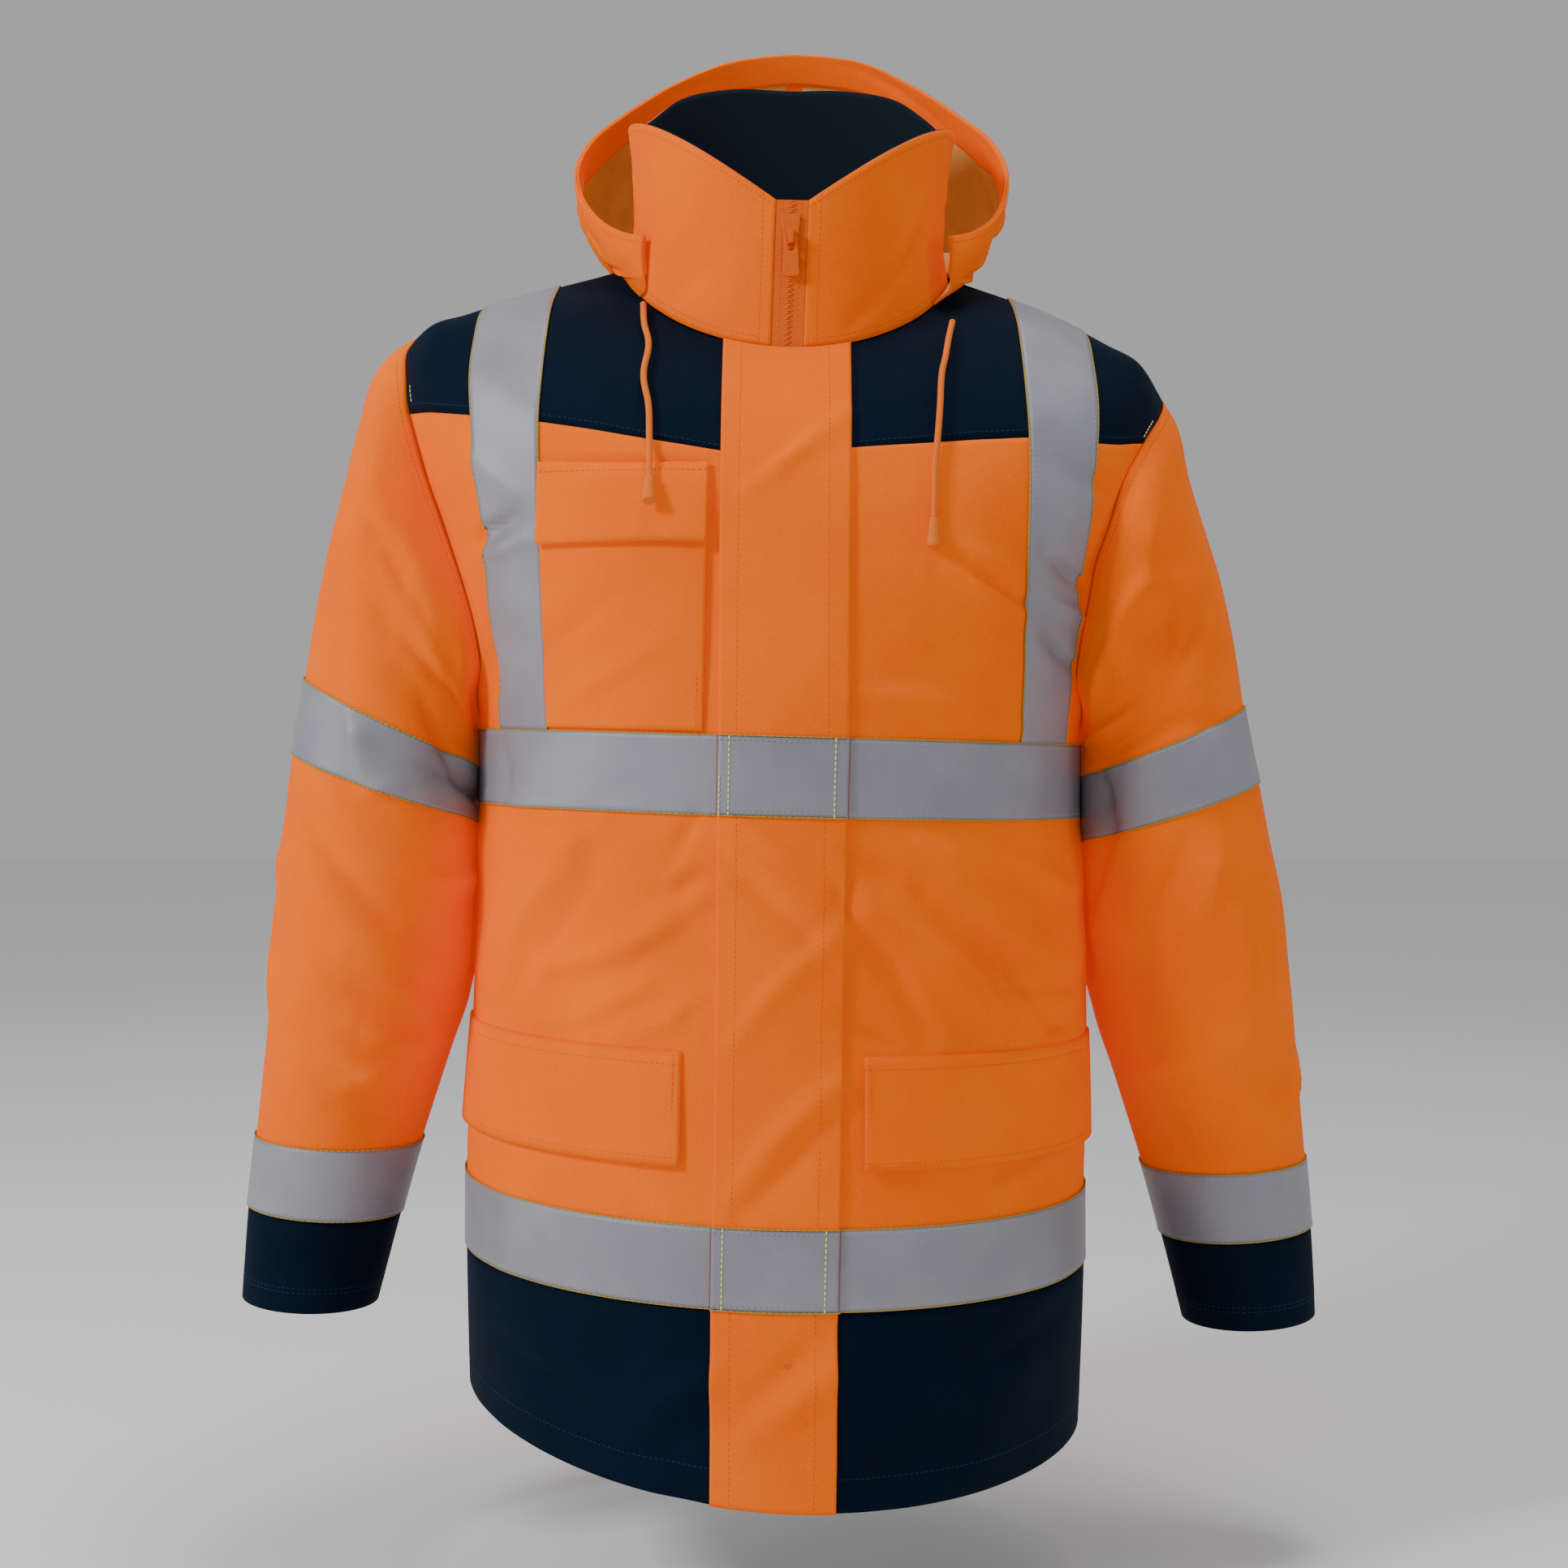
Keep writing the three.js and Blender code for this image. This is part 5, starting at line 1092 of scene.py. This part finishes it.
build_body()
build_tapes()
build_placket()
build_pockets()
build_sleeves()
build_collar()
build_hood()


def build_cords():
    for side, route in CORD_ROUTE.items():
        data = bpy.data.curves.new("cord_line_" + side, "CURVE")
        data.dimensions = "3D"
        data.bevel_depth = CORD_DIAMETER / 2
        data.bevel_resolution = 3
        data.use_fill_caps = True
        spline = data.splines.new("BEZIER")
        spline.bezier_points.add(len(route) - 1)
        for knot, place in zip(spline.bezier_points, route):
            knot.co = place
            knot.handle_left_type = knot.handle_right_type = "AUTO"
        spline.resolution_u = 8
        line = bpy.data.objects.new("cord_line_" + side, data)
        bpy.context.collection.objects.link(line)
        data.materials.append(MATERIALS["cord"])
        part_of(line, ["cord_" + side])


build_cords()


def edge_line(grid, side, distance):
    """Line at a distance inside one edge of a fine surface."""
    down, across = lengths(grid[..., :3])
    rows, columns = (np.arange(n, dtype=float) for n in grid.shape[:2])
    if side in ("top", "bottom"):
        place = distance / down[0 if side == "top" else -1].mean()
        return resample(grid, np.array([place if side == "top" else rows[-1] - place]), columns)[0]
    place = distance / across[:, 0 if side == "start" else -1].mean()
    return resample(grid, rows, np.array([place if side == "start" else columns[-1] - place]))[:, 0]


def template(make):
    shape = bmesh.new()
    make(shape)
    bmesh.ops.triangulate(shape, faces=shape.faces)
    shape.verts.index_update()
    corners = np.array([vertex.co for vertex in shape.verts])
    faces = np.array([[vertex.index for vertex in face.verts] for face in shape.faces])
    shape.free()
    return corners, faces


def repeat(name, colour, make, lines, pitch, size, swing=0.0):
    """Copies of a small shape along lines: each line is a run of places and normals, and its lift."""
    corners, faces = template(make)
    corners = corners * size
    vertices, count = [], 0
    for line, lift in lines:
        points, normals = line[:, :3] + line[:, 3:] * lift, line[:, 3:]
        length = np.concatenate([[0], np.cumsum(np.linalg.norm(np.diff(points, axis=0), axis=1))])
        places = np.arange(pitch / 2, length[-1] - pitch / 4, pitch)
        read = lambda values: np.stack([np.interp(places, length, values[:, k]) for k in range(3)], axis=-1)
        along = unit(read(np.gradient(points, axis=0)))
        up = read(normals)
        up = unit(up - along * (up * along).sum(axis=1, keepdims=True))
        side = np.cross(up, along)
        turn = np.stack([along, side, up], axis=1)
        sway = swing * np.where(np.arange(len(places)) % 2, 1, -1)[:, None]
        placed = np.einsum("ck,nkj->ncj", corners, turn) + (read(points) + side * sway)[:, None]
        vertices.append(placed.reshape(-1, 3))
        count += len(places)
    all_faces = (faces[None] + (np.arange(count) * len(corners))[:, None, None]).reshape(-1, 3)
    return part_of(mesh_object(name, np.concatenate(vertices), all_faces, [colour]))


def bead(shape):
    bmesh.ops.create_icosphere(shape, subdivisions=1, radius=1)


def block(shape):
    bmesh.ops.create_cube(shape, size=2)
    bmesh.ops.bevel(shape, geom=shape.edges[:], affect="EDGES", offset=0.3, segments=1, profile=0.5,
                    material=-1)


STITCH = (1.4, 0.32, 0.22)


def stitch(name, colour, lines, size=STITCH):
    repeat("stitches_" + name, colour, bead, lines, 3.6, size)


def lath(shape):
    bmesh.ops.create_cube(shape, size=2)


def ringed(grid):
    return np.concatenate([grid, grid[:, :1]], axis=1)


def edge_lines(grid, ends, distance, lift=0.0):
    return [(edge_line(grid, end, distance), lift) for end in ends]


# Distances of the stitching from the edges it follows
TAPE_INSET, PLACKET_INSETS, HEM_INSET = 3, (("start", 12), ("end", 14)), 20
LIME_INSETS = (("start", 7), ("end", 8.5))
TOP_AND_BOTTOM, BOTH_SIDES = ("top", "bottom"), ("start", "end")
SLEEVE_BANDS = {"upper": (6, 8), "lower": (15, 17)}      # the CAD rings each tape runs between
LIME_STITCH, EDGE_THREAD = (1.75, 0.6, 0.35), (2.2, 0.3, 0.25)


def stitch_tapes(grey, lime, edges):
    tape_top = LAY + TAPE
    over_placket = LAY + PLACKET + tape_top
    for band in ("chest", "hem"):
        rows = (band + " tape top", band + " tape end")
        start = line_at("front", "placket")
        bands = [(cut("front_" + side, rows, (start, LAST["front"])), tape_top) for side in SIDES]
        over = cut("placket", rows)
        bands += [(cut("back", rows), tape_top), (over, over_placket)]
        for grid, lift in bands:
            grey += edge_lines(grid, TOP_AND_BOTTOM, TAPE_INSET, lift)
            edges += edge_lines(grid, TOP_AND_BOTTOM, 0.2, lift - 0.1)
        lime += [(edge_line(over, end, distance), over_placket) for end, distance in LIME_INSETS]
        if band == "chest":
            border = edge_line(over, "start", 1.2)
            lime.append((border[len(border) // 2:], over_placket))
    brace = (line_at("front", "brace inner"), line_at("front", "brace outer"))
    for side in SIDES:
        front = cut("front_" + side, ("neck", "chest tape top"), brace)
        grey += edge_lines(front, BOTH_SIDES, TAPE_INSET, tape_top)
        edges += edge_lines(front, BOTH_SIDES, 0.3, tape_top - 0.1)
        for first, last in SLEEVE_BANDS.values():
            band = ringed(surface["sleeve_" + side][first * FINE:last * FINE + 1])
            grey += edge_lines(band, TOP_AND_BOTTOM, TAPE_INSET, tape_top)
            edges += edge_lines(band, TOP_AND_BOTTOM, 0.2, tape_top - 0.1)


def stitch_panels(orange, navy, lime):
    total = sum(cells for _, cells in SLEEVE_ROWS.values())
    upper, lower = SLEEVE_BANDS["upper"][0], SLEEVE_BANDS["lower"][1]
    for side in SIDES:
        yoke = cut("front_" + side, ("neck", "yoke"))
        navy += edge_lines(yoke, ("bottom",), 5) + edge_lines(yoke, ("end",), 6)
        lime.append((edge_line(yoke, "end", 9)[-6:-1], 0))
        navy += edge_lines(cut("front_" + side, ("hem tape end", "hem")), ("bottom",), HEM_INSET)
        sleeve = surface["sleeve_" + side]
        cuff = ringed(sleeve[lower * FINE:total * FINE + 1])
        navy += edge_lines(cuff, ("bottom",), 14) + edge_lines(cuff, ("bottom",), 17)
        orange += edge_lines(ringed(sleeve[:upper * FINE + 1]), ("top",), 5)
    navy += edge_lines(cut("back", ("neck", "yoke")), ("bottom",), 5)
    navy += edge_lines(cut("back", ("hem tape end", "hem")), ("bottom",), HEM_INSET)
    for rows in (("neck", "chest tape top"), ("chest tape end", "hem tape top"), ("hem tape end", "hem")):
        grid = cut("placket", rows)
        orange += [(edge_line(grid, end, distance), LAY + PLACKET) for end, distance in PLACKET_INSETS]


def stitch_pockets(orange):
    span = (line_at("front", "chest pocket"), line_at("front", "brace inner"))
    flap = cut("front_right", ("pocket top", "pocket flap end"), span)
    bag = cut("front_right", ("pocket flap end", "chest tape top"), span)
    orange += edge_lines(flap, ("top",), 6, 2 * LAY + 2 * POCKET + 0.6)
    orange += edge_lines(bag, ("start",), 4, LAY + POCKET + 1.6)
    for side, line in (("right", "lower flap"), ("left", "chest pocket")):
        grid = lower_flap(side, line)[:, :-2 * FINE]
        top = LAY + POCKET
        orange += edge_lines(grid, ("top",), 8, top + 0.3)
        orange += edge_lines(grid, ("bottom",), 5, top + FLAP_LIFT - 0.2)
        orange += edge_lines(grid, ("start",), 6, top + 0.5 * FLAP_LIFT)


def stitch_collar_and_hood(orange):
    collar, hood = surface["collar"], surface["hood"]
    orange += edge_lines(collar, ("top",), 5) + edge_lines(collar, ("bottom",), 6)
    orange += edge_lines(collar, BOTH_SIDES, 9)
    orange += edge_lines(hood, ("bottom",), 5) + edge_lines(hood, ("top",), 7)
    orange += [(hood[:, place], 0) for place in (HOOD_COLUMNS * FINE - 2, (HOOD_COLUMNS + 2) * FINE + 2)]


def build_stitching():
    grey, orange, navy, lime, edges = [], [], [], [], []
    stitch_tapes(grey, lime, edges)
    stitch_panels(orange, navy, lime)
    stitch_pockets(orange)
    stitch_collar_and_hood(orange)
    stitch("tape", "grey thread", grey)
    stitch("orange", "thread", orange)
    stitch("navy", "navy thread", navy)
    stitch("lime", "lime thread", lime, LIME_STITCH)
    repeat("tape_edges", "gold thread", lath, edges, 4, EDGE_THREAD)


def zip_line():
    """Middle line of the zip from the collar's top to the hem."""
    upper = (surface["collar"][:, 0] + surface["collar"][:, -1]) / 2
    lower = (surface["front_right"][:, 0] + surface["front_left"][:, 0]) / 2
    line = np.concatenate([upper[:-1], lower])
    line[:, 3:] = unit(line[:, 3:])
    return line


def build_zip():
    line = zip_line()
    repeat("zip_teeth", "zip", block, [(line, -0.9)], 1.7, (0.68, 1.5, 1.3), swing=0.9)
    for sign in (-1, 1):
        rail = line.copy()
        rail[:, 0] += sign * 6
        stitch("zip_" + ("right" if sign < 0 else "left"), "thread", [(rail, -0.4)])


def rounded(name, colour, body, offset):
    """CAD piece with its sharp edges rounded."""
    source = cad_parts[name]
    shape = bmesh.new()
    shape.from_mesh(source.data)
    shape.transform(source.matrix_world)
    bmesh.ops.remove_doubles(shape, verts=shape.verts, dist=1e-5)
    bmesh.ops.dissolve_limit(shape, angle_limit=0.02, verts=shape.verts, edges=shape.edges)
    sharp = [edge for edge in shape.edges if edge.is_manifold and edge.calc_face_angle() > 0.6]
    bmesh.ops.bevel(shape, geom=sharp, affect="EDGES", offset=offset * MM, segments=2, profile=0.5,
                    material=-1, clamp_overlap=True)
    mesh = bpy.data.meshes.new("round_" + name)
    shape.to_mesh(mesh)
    shape.free()
    mesh.materials.append(MATERIALS[colour])
    made = bpy.data.objects.new("round_" + name, mesh)
    bpy.context.collection.objects.link(made)
    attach(made, body)
    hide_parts(name)


def build_seam_allowances():
    """Turned-in cloth behind each armhole seam."""
    for side in SIDES:
        head = surface["sleeve_" + side][:3]
        outward = unit(head[0, :, :3] - head[2, :, :3])
        strip = np.repeat(head[:1], 4, axis=0)
        strip[..., :3] += outward[None] * np.array([-9, -3, 3, 9])[:, None, None]
        low, high = -CLOTH - 1.4, -CLOTH - 0.3
        cloth("armhole_seam_" + side, strip, "orange", low, high, ["sleeve_" + side], ring=True)


build_seam_allowances()
build_stitching()
build_zip()
rounded("slider", "zip", "jacket", 0.3)
rounded("pull_tab", "zip", "pull_tab", 0.3)
for side in SIDES:
    rounded("cord_end_" + side, "cord", "jacket", 0.4)
zip_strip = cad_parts["zip"]
zip_strip.data.materials.clear()
zip_strip.data.materials.append(MATERIALS["zip"])

# Studio: pale floor and soft lights, of which the strongest stands at the upper left in front
floor_mesh = bpy.data.meshes.new("floor")
floor_mesh.from_pydata([(-9, -6, 0), (9, -6, 0), (9, 9, 0), (-9, 9, 0)], [], [(0, 1, 2, 3)])
floor = bpy.data.objects.new("floor", floor_mesh)
floor.location.z = -0.9
floor_paint = bpy.data.materials.new("floor")
floor_paint.use_nodes = True
floor_paint.node_tree.nodes["Principled BSDF"].inputs["Base Color"].default_value = (0.9, 0.9, 0.9, 1)
floor_paint.node_tree.nodes["Principled BSDF"].inputs["Roughness"].default_value = 0.9
floor_mesh.materials.append(floor_paint)
bpy.context.collection.objects.link(floor)

LIGHTS = {
    "front": ((-2.1, -1.4, 1.2), (0.6, 0.6), 50),
    "left": ((-2.2, -0.5, -0.3), (0.6, 1.2), 6),
    "right": ((2.3, -0.9, 0.2), (0.6, 1.2), 7),
    "above": ((0.3, -0.2, 2.2), (0.8, 0.8), 26),
}
for name, (place, size, power) in LIGHTS.items():
    light = bpy.data.lights.new(name, "AREA")
    light.shape, light.size, light.size_y, light.energy = "RECTANGLE", size[0], size[1], power
    lamp = bpy.data.objects.new(name, light)
    lamp.location = place
    lamp.rotation_euler = (Vector((0, 0, -0.3)) - Vector(place)).to_track_quat("-Z", "Y").to_euler()
    bpy.context.collection.objects.link(lamp)
world = bpy.data.worlds.new("world")
world.use_nodes = True
world.node_tree.nodes["Background"].inputs["Color"].default_value = (1, 1, 1, 1)
world.node_tree.nodes["Background"].inputs["Strength"].default_value = 0.42
bpy.context.scene.world = world
